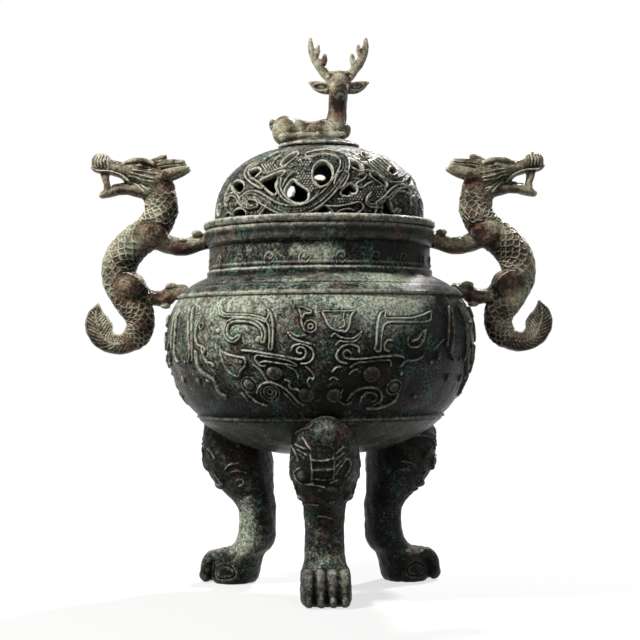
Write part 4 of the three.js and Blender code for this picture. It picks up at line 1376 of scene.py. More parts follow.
def skin_normals(points, quads):
    corner = points[quads]
    across = np.cross(corner[:, 2] - corner[:, 0], corner[:, 3] - corner[:, 1])
    total = np.zeros_like(points)
    for k in range(4):
        for axis in range(3):
            total[:, axis] += np.bincount(quads[:, k], across[:, axis], len(points))
    return total / np.maximum(np.linalg.norm(total, axis=1), 1e-12)[:, None]


def clear_of_bowl(points):
    """Points that would be in the bowl or under the lid's flange, moved outwards to just clear it."""
    belly = curve_through(BELLY, 1)
    above = [
        (NECK_RADIUS, NECK_FOOT), (NECK_RADIUS, RIM_BOTTOM), (RIM_RADIUS, RIM_BOTTOM + 0.2),
        (RIM_RADIUS, RIM_TOP), (FLANGE_CLEAR_RADIUS, RIM_TOP + 0.2), (FLANGE_CLEAR_RADIUS, FLANGE_CLEAR_TOP),
    ]
    rising = np.column_stack([belly[:, 0], np.maximum.accumulate(belly[:, 1])])
    radii, heights = np.vstack([rising, above]).T
    least = np.interp(points[:, 2], heights, radii, left=0) + GAP
    distance = np.hypot(points[:, 0], points[:, 1])
    grow = np.where(distance < least, least / np.maximum(distance, 1), 1)
    grow[(points[:, 2] < heights[0]) | (points[:, 2] > FLANGE_CLEAR_TOP)] = 1
    return points * np.column_stack([grow, grow, np.ones(len(points))])


class CastRelief(Relief):
    """Raised and cut work on a joined skin; side 1 or -1 repeats the work of that side of y = 0 beyond it."""

    def __init__(self, points, quads, to_local, side=0):
        self.skin = points
        self.quads = quads
        self.points = points if side == 0 else points * (1, 0, 1) + abs(points) * (0, side, 0)
        self.raised = np.zeros(len(points))
        self.cut = np.zeros(len(points))
        self.tree = BVHTree.FromPolygons(points.tolist(), quads.tolist())
        self.to_local = to_local

    def seen(self, pixels):
        start = self.to_local @ camera_place()
        found = []
        for column, row in pixels:
            way = self.to_local @ pixel_ray(column, row)
            hit = self.tree.ray_cast(Vector(start), Vector(way))[0]
            if hit is None:
                depth = np.mean((self.skin - start) @ way) / (way @ way)
                hit = self.tree.find_nearest(Vector(start + way * depth))[0]
            found.append(np.array(hit))
        return np.array(found)

    def lifted(self, more, seed, size=7):
        normals = skin_normals(self.skin, self.quads)
        wobble = unevenness(self.skin, size, RUGGED, seed)
        lift = self.raised - self.cut + more + wobble
        return self.skin + normals * lift[:, None]


def turned(degrees):
    return np.array(Matrix.Rotation(math.radians(degrees), 3, "Z"))


# legs: a beast's mask at the knee, a shank and a paw

# sections of the shank and the knee: height, distance from the axis, half depth, half width
LEG_SECTIONS = [
    (0, 55.5, 10.5, 12), (2.5, 55.5, 12.6, 13.2), (9, 54.5, 13.3, 13.2), (15.5, 52, 13.2, 12.8),
    (20, 45.5, 11.6, 11), (26, 41.4, 10.2, 10.4), (38, 40.6, 9.6, 10.3), (44, 41.5, 10.6, 10.8),
    (50, 45.6, 13.8, 11.2), (54, 48, 15.6, 13.4), (59, 50.4, 17.2, 15.6), (64, 51.6, 18.2, 17.2),
    (70, 53, 18.8, 18.2), (82, 55, 17.4, 17), (90, 57.5, 14.2, 13), (97, 61, 10, 6.5),
]
LEG_SQUARENESS = 2.4
LEG_VOXEL = 0.55
LEG_COLUMNS = 64
LEG_RIDGE_LIFT = 0.8
BELLY_WIDEST = 127
LEG_TURNS = {"front": -90, "right": 30, "left": 150}
TOE_PLACES = (-9.2, -3.1, 3.1, 9.2)
# a toe: distance from the axis, sideways, height, half width, half depth
TOE = [
    (57, 0, 13.5, 3.2, 3.2), (63.5, 0, 15.4, 3.6, 3.1), (67.6, 0, 12, 3.7, 3.1), (69, 0, 6.6, 3.6, 3),
    (69.2, 0, 2.4, 3, 2.8),
]
KNUCKLE = ((65.4, 0, 15.6), (3.4, 3, 2.6))
CLAW = ((70.6, 0, 4.2), (3, 2.1, 3.4))
# knobs of the knee's mask: middle and half sizes
MASK_NOSE = ((67.5, 0, 87.5), (7, 7.2, 8.6))
MASK_BROW = ((61.5, 9.5, 83), (7.5, 5.2, 6.5))
MASK_CHEEK = ((62.5, 11, 68), (7, 5, 6.5))
MASK_CHIN = ((64, 0, 60.5), (5.5, 8, 3.6))
MASK_BEARD = ((59, 0, 54.5), (5, 9, 3.4))
MASK_JOWL = ((57.5, 11, 55.5), (4, 3.6, 2.8))
# strokes through pixels of the photograph's frame: width in millimetres, pixels
FRONT_LEG_RIDGES = {
    "mask edge left": (1.2, [(285.5, 443), (291.4, 437.2), (300.8, 430.2), (308.4, 427.7), (312, 425)]),
    "feather spine left": (1.3, [(290.6, 441), (293, 447.5), (296.5, 454), (298.2, 461)]),
    "feather 1 left": (1.0, [(296, 444.5), (300, 446.8), (306, 449)]),
    "feather 2 left": (1.0, [(298, 449.6), (302, 452), (306.5, 455)]),
    "feather 3 left": (1.0, [(298.6, 453.4), (301.4, 455.6), (304, 458)]),
    "brow left": (1.4, [(303, 438), (305.6, 441.4), (308, 446), (311, 449.6)]),
    "ladder left": (1.0, [(310.4, 455), (311.4, 462), (312, 470), (312, 480)]),
    "ladder right": (1.0, [(333.6, 457), (334, 464), (334, 471), (333.6, 478)]),
    "ladder top": (1.2, [(312, 460), (317, 460.6), (322, 461), (328, 460), (333.6, 458.6)]),
    "ladder middle": (1.1, [(312.4, 470.4), (318, 470), (326, 470), (333, 469)]),
    "ladder low": (1.0, [(312.4, 479), (318, 479.4), (326, 480), (333, 478.6)]),
    "chin line": (1.2, [
        (295.4, 477.6), (299, 481.4), (304.6, 483.8), (311, 484.4), (318, 485.8), (324, 487.4),
    ]),
    "chin corner": (1.4, [(330.4, 483), (334, 481), (337, 479.8)]),
    "cheek loop left": (1.0, [(295.6, 477), (294.8, 472.6), (297.4, 469.4), (300.4, 468)]),
    "feather 1 right": (1.0, [(336.4, 453.6), (340, 450), (343.6, 446.6)]),
    "feather 2 right": (1.0, [(336, 459.6), (340, 456.4), (344.4, 452.4)]),
    "feather 3 right": (1.0, [(335.6, 467.4), (340, 462), (344.6, 456.6)]),
    "cheek line right": (1.0, [(335.6, 474.6), (339.6, 468), (344, 462), (346, 458.4)]),
    "cheek loop right": (1.1, [(346, 458.4), (349.4, 460.4), (350.6, 466), (348.4, 472), (344.6, 476.4)]),
    "ring left": (1.2, [(301, 504.6), (306, 504), (312, 503.6), (318, 504.6)]),
    "ring low": (1.0, [(318, 515.6), (324, 516), (331, 517.6)]),
}
LEFT_LEG_RIDGES = {
    "cheek arc": (1.1, [(224.7, 470.1), (228, 465.7), (233.5, 463.5), (239.5, 462.8)]),
    "cheek arc low": (1.1, [(231.3, 472.3), (235, 471), (240, 471), (246, 472.3)]),
    "cheek whorl": (0.9, [(236, 481), (239, 479), (243, 480), (243, 484), (239, 486)]),
    "temple": (1.0, [(207.1, 448.7), (211.5, 452.5), (214.3, 459.1)]),
    "lip": (1.1, [(214.8, 474.5), (218.7, 480), (222.5, 484.4)]),
}
TOE_CLAW_RING = [
    (216.4, 573), (218, 567.6), (224, 565.4), (230.6, 567), (234.6, 572), (233, 577), (224, 578.6),
    (218, 577.6),
]


def leg_body():
    rows = curve_through(LEG_SECTIONS, 1.2)
    turn = 2 * math.pi * np.arange(LEG_COLUMNS) / LEG_COLUMNS
    power = 2 / LEG_SQUARENESS
    radial = np.sign(np.cos(turn)) * abs(np.cos(turn)) ** power
    sideways = np.sign(np.sin(turn)) * abs(np.sin(turn)) ** power
    rings = [
        np.column_stack([r + depth * radial, width * sideways, np.full(LEG_COLUMNS, z)])
        for z, r, depth, width in rows
    ]
    ends = [np.array([[LEG_SECTIONS[k][1], 0, LEG_SECTIONS[k][0]]]) for k in (0, -1)]
    return turned_skin([ends[0]] + rings + [ends[1]])


def leg_skin():
    solids = [leg_body(), ball(*MASK_NOSE), ball(*MASK_CHIN), ball(*MASK_BEARD)]
    for centre, radii in (MASK_BROW, MASK_CHEEK, MASK_JOWL):
        solids += pair(ball, centre, radii)
    for place in TOE_PLACES:
        aside = np.array([0, place, 0])
        solids.append(tube(np.array(TOE) + (0, place, 0, 0, 0)))
        solids.append(ball(KNUCKLE[0] + aside, KNUCKLE[1]))
        solids.append(ball(CLAW[0] + aside, CLAW[1]))
    points, quads = fused("leg", solids, LEG_VOXEL)
    return smoothed(points, quads, times=3), quads


def leg_shape():
    points, quads = leg_skin()
    front = CastRelief(points, quads, turned(-LEG_TURNS["front"]))
    for width, pixels in FRONT_LEG_RIDGES.values():
        front.ridge(pixels, width, LEG_RIDGE_LIFT)
    left = CastRelief(points, quads, turned(-LEG_TURNS["left"]), side=1)
    for width, pixels in LEFT_LEG_RIDGES.values():
        left.ridge(pixels, width, LEG_RIDGE_LIFT)
    left.groove(TOE_CLAW_RING, width=1.3, depth=0.9, closed=True)
    made = front.lifted(left.raised - left.cut, seed=11)
    made[:, 2] = np.clip(made[:, 2], 0, None)
    under = curve_through(BELLY, 1)
    under = under[under[:, 1] < BELLY_WIDEST]
    roof = np.interp(np.hypot(made[:, 0], made[:, 1]), under[:, 0], np.maximum.accumulate(under[:, 1]))
    made[:, 2] = np.minimum(made[:, 2], roof - GAP)
    return made, quads


# crust of a leg by height
LEG_CRUST = [(0, -0.25), (12, 0.1), (22, 0.75), (28, 0.4), (50, 0.15), (60, 0.1), (80, 0.2), (92, 0.65)]


def leg_crust(points):
    """The shanks carry more growth than the masks; a pale streak down the left one's outer side is a painted
    highlight, and painted shade darkens the legs towards the right.
    """
    sideways, _, height = points.T
    # painted highlight: a pale streak down the left leg's outer side
    shank_highlight = spot(sideways, -42, 7) * spot(height, 32, 20)
    # painted shade on whatever lies towards the right
    return shank_highlight - 0.6 * soft_step(sideways - 15, 15) + from_table(height, LEG_CRUST)


def legs():
    points, quads = leg_shape()
    for name, degrees in LEG_TURNS.items():
        title = f"leg_{name}_casting"
        mesh = new_mesh(title, points @ turned(degrees).T, [quads])
        place_piece(title, mesh, "base", "patinated_bronze", [f"leg_{name}"], leg_crust)


# dragons: the right one, and its mirror image

DRAGON_VOXEL = 0.42
MIRROR = np.diag([-1.0, 1.0, 1.0])
# stations: distance from the axis, depth towards the back, height, half width, half depth
DRAGON_SPINE = [
    (88.2, 0, 222, 8, 6.6), (86.9, 0, 213.5, 8.9, 7), (86.4, 0, 207, 8.5, 7.2), (89.4, 0, 200.4, 8.8, 7.6),
    (94.6, 0, 194.6, 9, 8), (101.8, 0, 189.1, 9.2, 8.4), (107.8, 0, 181.9, 9.4, 8.6),
    (109.7, 0, 174.2, 9.2, 8.6), (108.2, 0, 166, 9.3, 8.6), (104, 0, 158.3, 8.9, 8.2),
    (99.6, 0, 151.7, 8.2, 7.6), (98.1, 0, 145.1, 7.4, 6.9), (100.6, 0, 139.2, 6.8, 6.3),
    (105.8, 0, 135.2, 5.9, 5.6), (112.5, 0, 134.4, 5.5, 5), (118.2, 0, 137.6, 6.4, 4.5),
    (121, 0, 143.6, 7.5, 4.1), (122.3, 0, 150, 5.4, 3.3), (121.4, 0, 155.6, 1.1, 1),
]
# way along the spine to where the scales begin, and to the leaf of the tail
SPINE_NECK = 4
LEAF_START = 101
DRAGON_SKULL = [
    (83.5, 0, 219, 5, 5), (88, 0, 223.8, 8, 7.2), (94, 0, 227.4, 8, 8), (100.7, 0, 229, 6.3, 7.2),
    (107.8, 0, 230, 4.2, 5.6), (113.9, 0, 231.4, 4.1, 5), (119, 0, 233.6, 4.6, 5.2),
]
DRAGON_NOSE = ((119.3, 0, 234), (5.4, 5.9, 5.2))
DRAGON_LIP = [
    (124.2, 0, 231.4, 0.9, 3.4), (121, 0, 229.4, 1.3, 4.8), (114, 0, 228.2, 1.2, 5),
    (108.5, 0, 226.4, 1.3, 5.4), (103.6, 0, 222.6, 1.6, 5.6),
]
DRAGON_JAW = [
    (91.5, 0, 217.6, 5.2, 6.2), (99, 0, 218.7, 4.2, 5.6), (105, 0, 219.2, 3.2, 5),
    (110.5, 0, 218.6, 2.8, 4.6), (115.6, 0, 217.2, 2.6, 4.2), (119.2, 0, 215.9, 1.9, 3.2),
]
DRAGON_FANG = [
    (117.6, 2.6, 229, 2.5, 1.8), (117, 2.6, 225, 2, 1.5), (116.2, 2.5, 221.4, 1.7, 1.3),
    (116, 2.4, 217.8, 2, 1.6),
]
DRAGON_TONGUE = [(103, 0, 221.6, 1.2, 2.6), (108, 0, 221.6, 1, 2.4), (113, 0, 221, 0.8, 1.8)]
DRAGON_BROW = [
    (107, 4, 232.8, 1, 1.2), (101.5, 5.4, 234.2, 1.5, 1.8), (96, 6, 234, 1.7, 2),
    (90.5, 6.2, 232.4, 1.4, 1.6),
]
DRAGON_LID = [(102.5, 5.8, 229.4, 0.9, 1), (97.6, 7, 228.4, 1, 1.1), (92, 7, 228.8, 1, 1)]
DRAGON_EYE = ((97.6, 6.3, 231), (2.3, 1.9, 1.5))
DRAGON_NOSTRIL = ((121.6, 3.6, 231.6), (1.7, 1.3, 1.3))
DRAGON_HORN = [
    (92.6, 3.6, 230.6, 2.4, 2.2), (86.6, 4.2, 232.2, 2.6, 2.1), (80, 4.8, 233, 2.3, 2),
    (74.2, 5.2, 233.2, 1.8, 1.5),
]
DRAGON_EAR = [
    (90, 5.4, 225.4, 2.6, 2), (83.4, 6.4, 226.6, 3, 1.8), (76.8, 6.6, 228.4, 2.3, 1.6),
    (71.4, 6.4, 230.4, 1.2, 1),
]
DRAGON_CREST = [(92.4, 2, 232.4, 2.4, 2), (88, 2.2, 234.6, 2.3, 1.7), (84, 2.4, 237.4, 1, 0.9)]
DRAGON_CREST_WEB = [(87.6, 2.4, 233.6, 2, 1.2), (82.4, 3, 234.4, 1.4, 1.1)]
DRAGON_SHOULDER = ((91.6, 5.2, 194.2), (8.6, 4.6, 6.6))
DRAGON_HAUNCH = ((103.6, 4.8, 165.6), (8.4, 5.6, 8.6))
DRAGON_ARM = [
    (92.5, 0, 194, 6.4, 6.8), (85.5, 0, 189.8, 5.3, 6.2), (78.6, 0, 187.6, 4.9, 5.9),
    (73.7, 0, 187, 4.6, 5.7), (69.2, 0, 188.4, 4.7, 5.7), (65, 0, 190, 4.8, 5.8),
    (60.6, 0, 190.6, 4.4, 5.6),
]
DRAGON_LEG = [
    (103.4, 0, 165.4, 7.4, 7.6), (95.9, 0, 160.6, 5, 6.6), (90.6, 0, 159.4, 4.1, 6),
    (85.4, 0, 159.2, 4.7, 6.2), (80.6, 0, 161.8, 4.6, 6.2), (75, 0, 162, 4.8, 6),
]
# fingers on the rim and toes on the shoulder: middles and half sizes
DRAGON_FINGERS = [
    ((67.2, 4.4, 194.4), (3, 2, 1.9)), ((67.2, 0, 194.8), (3, 2, 1.9)), ((74.8, 3.6, 191), (2, 2.6, 1.2)),
    ((81.4, 4, 165.6), (3.2, 2, 1.9)), ((81.4, 0, 166), (3.2, 2, 1.9)),
    ((84.6, 3.8, 155.2), (2.6, 2.2, 1.7)),
]
DRAGON_RIDGES = {
    "upper lip": (1.0, [
        (92.5, 168.3), (97, 170.2), (101.7, 170.8), (107, 170.9), (112.5, 171.7), (120.8, 174.6),
        (125, 177.4), (128.3, 180.8),
    ]),
    "whisker": (0.9, [(128.3, 176), (135, 176.6), (141.4, 179.6), (147, 180.4), (153.6, 181.4)]),
    "mane 1": (0.9, [(133, 170), (141, 170.8), (149, 172.6), (157.4, 173.6)]),
    "mane 2": (0.9, [(131.5, 172.5), (139, 174.5), (147, 177), (155, 178.5)]),
    "mane 3": (0.9, [(129.6, 178.6), (136.6, 182), (142.5, 186.2), (150.5, 192)]),
    "mane 4": (0.9, [(129.4, 182.6), (136, 184.6), (141, 188.6), (145.6, 193.4)]),
    "mane 5": (0.9, [(130.8, 180.4), (138.5, 183.2), (145, 187.4), (152.5, 190)]),
    "shoulder line": (0.9, [
        (177.5, 211.7), (172.5, 217.5), (168.3, 221.7), (165, 223.8), (161.7, 222.1), (156, 221.6),
    ]),
    "haunch line": (1.0, [(123.3, 273), (129, 273.4), (137, 277.8), (143, 284.4), (148.4, 290.4)]),
}
NOSE_GROOVES = {
    "nose 1": [(98, 156.5), (96, 161), (96.5, 166)],
    "nose 2": [(101, 155.5), (99.2, 160.5), (99.8, 167)],
    "nose 3": [(104, 155), (102.4, 160.5), (103.2, 167.5)],
    "nose 4": [(107, 156), (105.8, 161), (106.6, 167.5)],
    "eye slot": [(137, 166.4), (143, 168), (149, 168.4), (152.6, 167.6)],
    "horn slot": [(158, 166), (166, 164.6), (176, 163.8), (183, 163)],
    "mouth corner": [(122.6, 182.4), (127, 182), (131, 184.6)],
}
# scales: number round the body, then row distance, reach and sway as shares of a scale's width
SCALES_ROUND = 11
SCALE_ROW = 0.5
SCALE_REACH = 0.58
SCALE_SWAY = 0.07
SCALE_SWELL = 0.24
SCALE_RIM = 0.26
BARB_SPACING = 2.1
BARB_LIFT = 0.13
LEAF_RIM = 0.3


def dragon_skin():
    solids = [tube(DRAGON_SPINE), tube(DRAGON_SKULL), ball(*DRAGON_NOSE), tube(DRAGON_LIP), tube(DRAGON_JAW)]
    solids += [tube(DRAGON_TONGUE), tube(DRAGON_ARM), tube(DRAGON_LEG)]
    for stations in (
        DRAGON_FANG, DRAGON_BROW, DRAGON_LID, DRAGON_HORN, DRAGON_EAR, DRAGON_CREST, DRAGON_CREST_WEB,
    ):
        solids += pair(tube, stations)
    for centre, radii in [DRAGON_EYE, DRAGON_NOSTRIL, DRAGON_SHOULDER, DRAGON_HAUNCH] + DRAGON_FINGERS:
        solids += pair(ball, centre, radii)
    points, quads = fused("dragon", solids, DRAGON_VOXEL)
    return smoothed(points, quads, times=3), quads


def spine_route():
    """Stations of the spine about a millimetre apart, and the steps between them."""
    route = curve_through(DRAGON_SPINE, 1)
    return route, np.linalg.norm(np.diff(route[:, :3], axis=0), axis=1)


def along_spine(points):
    """For every point: place along and across the spine, depth, half width there, and how far away it is."""
    route, steps = spine_route()
    centres = route[:, :3]
    length = walked(steps)
    flat = points * (1, 0, 1)
    far, along = distance_to_path(flat, centres)
    place = along * (len(centres) - 1)
    direction = np.gradient(centres, axis=0)
    direction /= np.linalg.norm(direction, axis=1)[:, None]
    index = np.round(place).astype(int)
    wide = np.cross(direction[index], (0, 1, 0))
    across = ((flat - centres[index]) * wide).sum(axis=1)
    ahead = np.interp(place, np.arange(len(length)), length)
    return ahead, across, points[:, 1], np.interp(place, np.arange(len(length)), route[:, 3]), far


def scale_pattern(row, column):
    """Height of overlapping scales with raised rims; row counts towards the tail, column round the body."""
    height = np.zeros(len(row))
    covered = np.zeros(len(row), bool)
    for behind in (1, 0, -1):
        k = np.floor(row) - behind
        aside = column - 0.5 * (k % 2)
        aside -= np.round(aside)
        share = np.hypot((row - k) * SCALE_ROW, aside) / SCALE_REACH
        here = (share < 1) & ~covered
        rim = SCALE_RIM * spot(share, 0.86, 0.12)
        height = np.where(here, SCALE_SWELL * share**2 + rim, height)
        covered |= here
    return height


def dragon_scales(points):
    ahead, across, depth, half, far = along_spine(points)
    route, steps = spine_route()
    scale_width = 2 * math.pi * route[:, 3] * 0.95 / SCALES_ROUND
    rows = walked(steps / (scale_width[1:] * SCALE_ROW))
    row = np.interp(ahead, walked(steps), rows)
    column = np.arctan2(depth, across) / (2 * math.pi) * SCALES_ROUND
    row += unevenness(points, size=9, amount=SCALE_SWAY / SCALE_ROW, seed=31)
    column += unevenness(points, size=9, amount=SCALE_SWAY, seed=32)
    strength = np.maximum(1 + unevenness(points, size=20, amount=0.3, seed=33), 0.3)
    lift = scale_pattern(row, column) * strength
    lift *= soft_step(ahead - SPINE_NECK, 3) * soft_step(LEAF_START - ahead, 3)
    lift *= soft_step(half + 1.6 - far, 0.8)
    for (centre, radii), grow in ((DRAGON_SHOULDER, 1.18), (DRAGON_HAUNCH, 1.1)):
        apart = (points * (1, 0, 1) - np.array(centre) * (1, 0, 1)) / radii
        lift *= soft_step(np.linalg.norm(apart, axis=1) - grow + 0.1, 0.15)
    leaf = soft_step(ahead - LEAF_START, 2)
    barbs = np.cos(2 * math.pi * (ahead - 0.9 * abs(across)) / BARB_SPACING)
    inner = soft_step(half - 1 - abs(across), 0.6)
    rim = spot(half - 0.9 - abs(across), 0, 0.5)
    midrib = spot(across, 0, 0.7)
    return lift + leaf * (BARB_LIFT * barbs * inner * (1 - midrib) + LEAF_RIM * rim + LEAF_RIM * midrib)


def dragon_shape():
    points, quads = dragon_skin()
    relief = CastRelief(points, quads, MIRROR, side=-1)
    for width, pixels in DRAGON_RIDGES.values():
        relief.ridge(pixels, width, lift=0.55)
    for pixels in NOSE_GROOVES.values():
        relief.groove(pixels, width=1.1, depth=0.6)
    made = relief.lifted(dragon_scales(points), seed=21)
    return clear_of_bowl(made), quads


def dragon_crust(points):
    """Painted light and shade: the back of each dragon is painted pale as if lit, and the side towards the
    bowl is painted dark as if shaded.
    """
    _, across, _, half, far = along_spine(points * np.where(points[:, :1] < 0, (-1, 1, 1), (1, 1, 1)))
    on_body = soft_step(half + 1.5 - far, 2)
    # painted light on the outer back and painted shade on the side towards the bowl
    lit_outer_side = np.clip(across / half, -1, 1)
    return 0.72 + 0.5 * lit_outer_side * on_body + unevenness(points, size=22, amount=0.2, seed=9)


def dragons():
    points, quads = dragon_shape()
    for name, skin, faces in (("right", points, quads), ("left", points * (-1, 1, 1), quads[:, ::-1])):
        title = f"dragon_{name}_casting"
        mesh = new_mesh(title, skin, [faces])
        place_piece(title, mesh, "base", "worn_bronze", [f"dragon_{name}"], dragon_crust)


# deer on the lid, across the burner with its head to the right

DEER_VOXEL = 0.36
# stations: sideways, towards the back, height, half width, half depth
DEER_BODY = [
    (-25.2, 0, 253, 2, 3), (-22.5, 0, 252.4, 6.4, 6.4), (-15, 0, 251.4, 6.8, 7.4), (-5, 0, 250.6, 5.6, 6.8),
    (4, 0, 251.2, 6.2, 6.6), (10, 0, 251.6, 6.4, 6.4), (14.4, 0, 251, 4.4, 4.6),
]
DEER_NECK = [
    (8.4, 0, 248, 7, 6.4), (9.6, -0.4, 254, 6.6, 6), (10.4, -0.8, 261, 5.7, 5.2),
    (10.9, -1.4, 268, 5.5, 5.2), (11.3, -1.8, 276, 5.8, 5.2),
]
DEER_HEAD = [
    (11.3, 4.4, 276.6, 4, 4), (11.3, 0.4, 277.4, 6.2, 6.8), (11.3, -4.6, 276.4, 6, 6.8),
    (11.3, -9.4, 273, 4.7, 5.2), (11.3, -13.4, 269.6, 3.8, 4), (11.3, -16.4, 267.4, 2.6, 2.6),
]
# parts of the head, from its centre
DEER_CENTRE = (11.3, 0, 274.2)
DEER_TUFT = ((0, -4.4, 7.2), (7.4, 3.6, 2.2))
DEER_TUFT_CURLS = [((2.2, -7.2, 5.6), (2.2, 1.5, 1.4)), ((5.6, -5.6, 5.4), (1.8, 1.7, 1.4))]
DEER_EYE = ((4.6, -6.6, 1.8), (1.3, 1.6, 1.3))
DEER_EAR = [
    (4, 0, -0.6, 2.4, 1.5), (8.6, -0.4, 0.4, 3.4, 1.6), (13, -0.6, 2, 2.6, 1.2),
    (16.4, -0.4, 3.6, 0.7, 0.6),
]
DEER_ANTLER = [
    (4.4, 0.5, 5, 2.7, 2.4), (8.2, 1, 9.8, 2.7, 2.3), (12.2, 1.4, 15.4, 2.5, 2.1), (14.8, 1.4, 22, 2, 1.8),
    (15.4, 1, 28.2, 1, 0.9),
]
DEER_TINES = [
    [(10.4, 1.2, 12, 2.2, 1.8), (8.2, 0.6, 15.2, 2, 1.6), (7.4, 0, 19, 1, 0.9)],
    [(13.6, 1.4, 18, 2, 1.7), (11.6, 0.9, 20.8, 1.8, 1.5), (11, 0.6, 24.2, 0.9, 0.8)],
]
DEER_BURR = ((5.2, 0.6, 6.2), (3.2, 2.9, 1.2))
# parts of the body, from the burner's axis and foot
DEER_HAUNCH = ((-18.4, 4.4, 251), (7, 4.8, 7.8))
DEER_SHOULDER = ((6.4, 4.2, 250.4), (6.2, 3.8, 5.8))
DEER_HIND_LEG = [(-20, 7.4, 246.4, 2.6, 2.6), (-12, 7.4, 247, 2.3, 2.2), (-3, 7.2, 247.4, 1.9, 1.8)]
DEER_FORE_LEG = [(13, 6.4, 247.4, 2.4, 2.3), (6, 7, 247.6, 2.2, 2), (-1, 7.2, 247.8, 1.7, 1.7)]
DEER_TAIL = ((-25.2, 0, 254.6), (2, 1.6, 3))
DEER_RIDGES = {
    "shoulder edge": (0.9, [(324.6, 121.4), (329, 122.6), (333, 126), (337.6, 131.6), (343, 136.2)]),
    "haunch fold": (0.8, [(279.6, 129.4), (283, 133.4), (287.4, 137)]),
}
# hollow of an ear: place from the head's centre, and half sizes
EAR_HOLLOW = ((9.6, -1.6, 1), (5, 2.6, 2.2))
EAR_HOLLOW_DEPTH = 0.9
DEER_GAP = 0.15


def deer_skin():
    solids = [tube(DEER_BODY)]
    solids += [tube(stations, side=(1, 0, 0)) for stations in (DEER_NECK, DEER_HEAD)]
    solids.append(ball(*DEER_TAIL))
    for centre, radii in (DEER_HAUNCH, DEER_SHOULDER):
        solids += pair(ball, centre, radii)
    solids += pair(tube, DEER_HIND_LEG) + pair(tube, DEER_FORE_LEG)
    middle = np.array(DEER_CENTRE, float)
    solids.append(ball(middle + DEER_TUFT[0], DEER_TUFT[1]))
    for way in (-1, 1):
        aside = np.array([way, 1, 1, 1, 1])
        shift = np.array([*middle, 0, 0])
        for stations in (DEER_EAR, DEER_ANTLER, *DEER_TINES):
            solids.append(tube(np.array(stations) * aside + shift))
        for centre, radii in (*DEER_TUFT_CURLS, DEER_EYE, DEER_BURR):
            solids.append(ball(middle + np.array(centre) * aside[:3], radii))
    points, quads = fused("deer", solids, DEER_VOXEL)
    return smoothed(points, quads, times=2), quads


def deer_crust(points):
    """Rubbed pale on the back and all over, with painted highlights on the haunch and the chest, and painted
    shade under the muzzle and down the neck's sides.
    """
    sideways, forward, height = points.T
    # painted shade under the muzzle
    muzzle_shade = 1.6 * spot(sideways, 11.3, 5) * spot(height, 267, 6) * soft_step(-3 - forward, 4)
    chest_highlight = 0.5 * spot(sideways, 11, 3.4) * spot(height, 255, 6)
    neck_side_shade = 0.7 * soft_step(abs(sideways - 11) - 3, 2.5) * spot(height, 262, 9)
    # painted highlight on the haunch
    haunch = 0.4 * spot(sideways, -19, 6) * spot(height, 252, 6)
    # pale rubbed metal, with the painted highlights added and the painted shade taken away
    rub_and_painted_light = 1.1 + chest_highlight + haunch - muzzle_shade - neck_side_shade
    return rub_and_painted_light + unevenness(points, size=14, amount=0.25, seed=10)


def deer():
    points, quads = deer_skin()
    relief = CastRelief(points, quads, np.eye(3))
    for width, pixels in DEER_RIDGES.values():
        relief.ridge(pixels, width, lift=0.6)
    for way in (-1, 1):
        inner = DEER_CENTRE + np.array(EAR_HOLLOW[0]) * (way, 1, 1)
        apart = np.linalg.norm((points - inner) / EAR_HOLLOW[1], axis=1)
        relief.cut = np.maximum(relief.cut, EAR_HOLLOW_DEPTH * soft_step(1 - apart, 0.5))
    made = relief.lifted(0, seed=31, size=5)
    crown = np.array(CROWN_PROFILE)[::-1]
    least = np.interp(np.hypot(made[:, 0], made[:, 1]), crown[:, 0], crown[:, 1], right=0) + DEER_GAP
    made[:, 2] = np.maximum(made[:, 2], least)
    mesh = new_mesh("deer_casting", made, [quads])
    place_piece("deer_casting", mesh, "lid_set", "worn_bronze", ["deer_finial"], deer_crust)


# finish of the metal

# sizes of its clouds, spots and grains in millimetres
CLOUD_SIZE = 26
RED_SIZE = 15
GREEN_SIZE = 12
PATCH_SIZE = 7
GRAIN_SIZE = 1.9
GREEN_GRAIN_SIZE = 1.3
PIT_SIZE = 1.1
SPECK_SIZE = 0.9
BUMP_DEPTH = 2


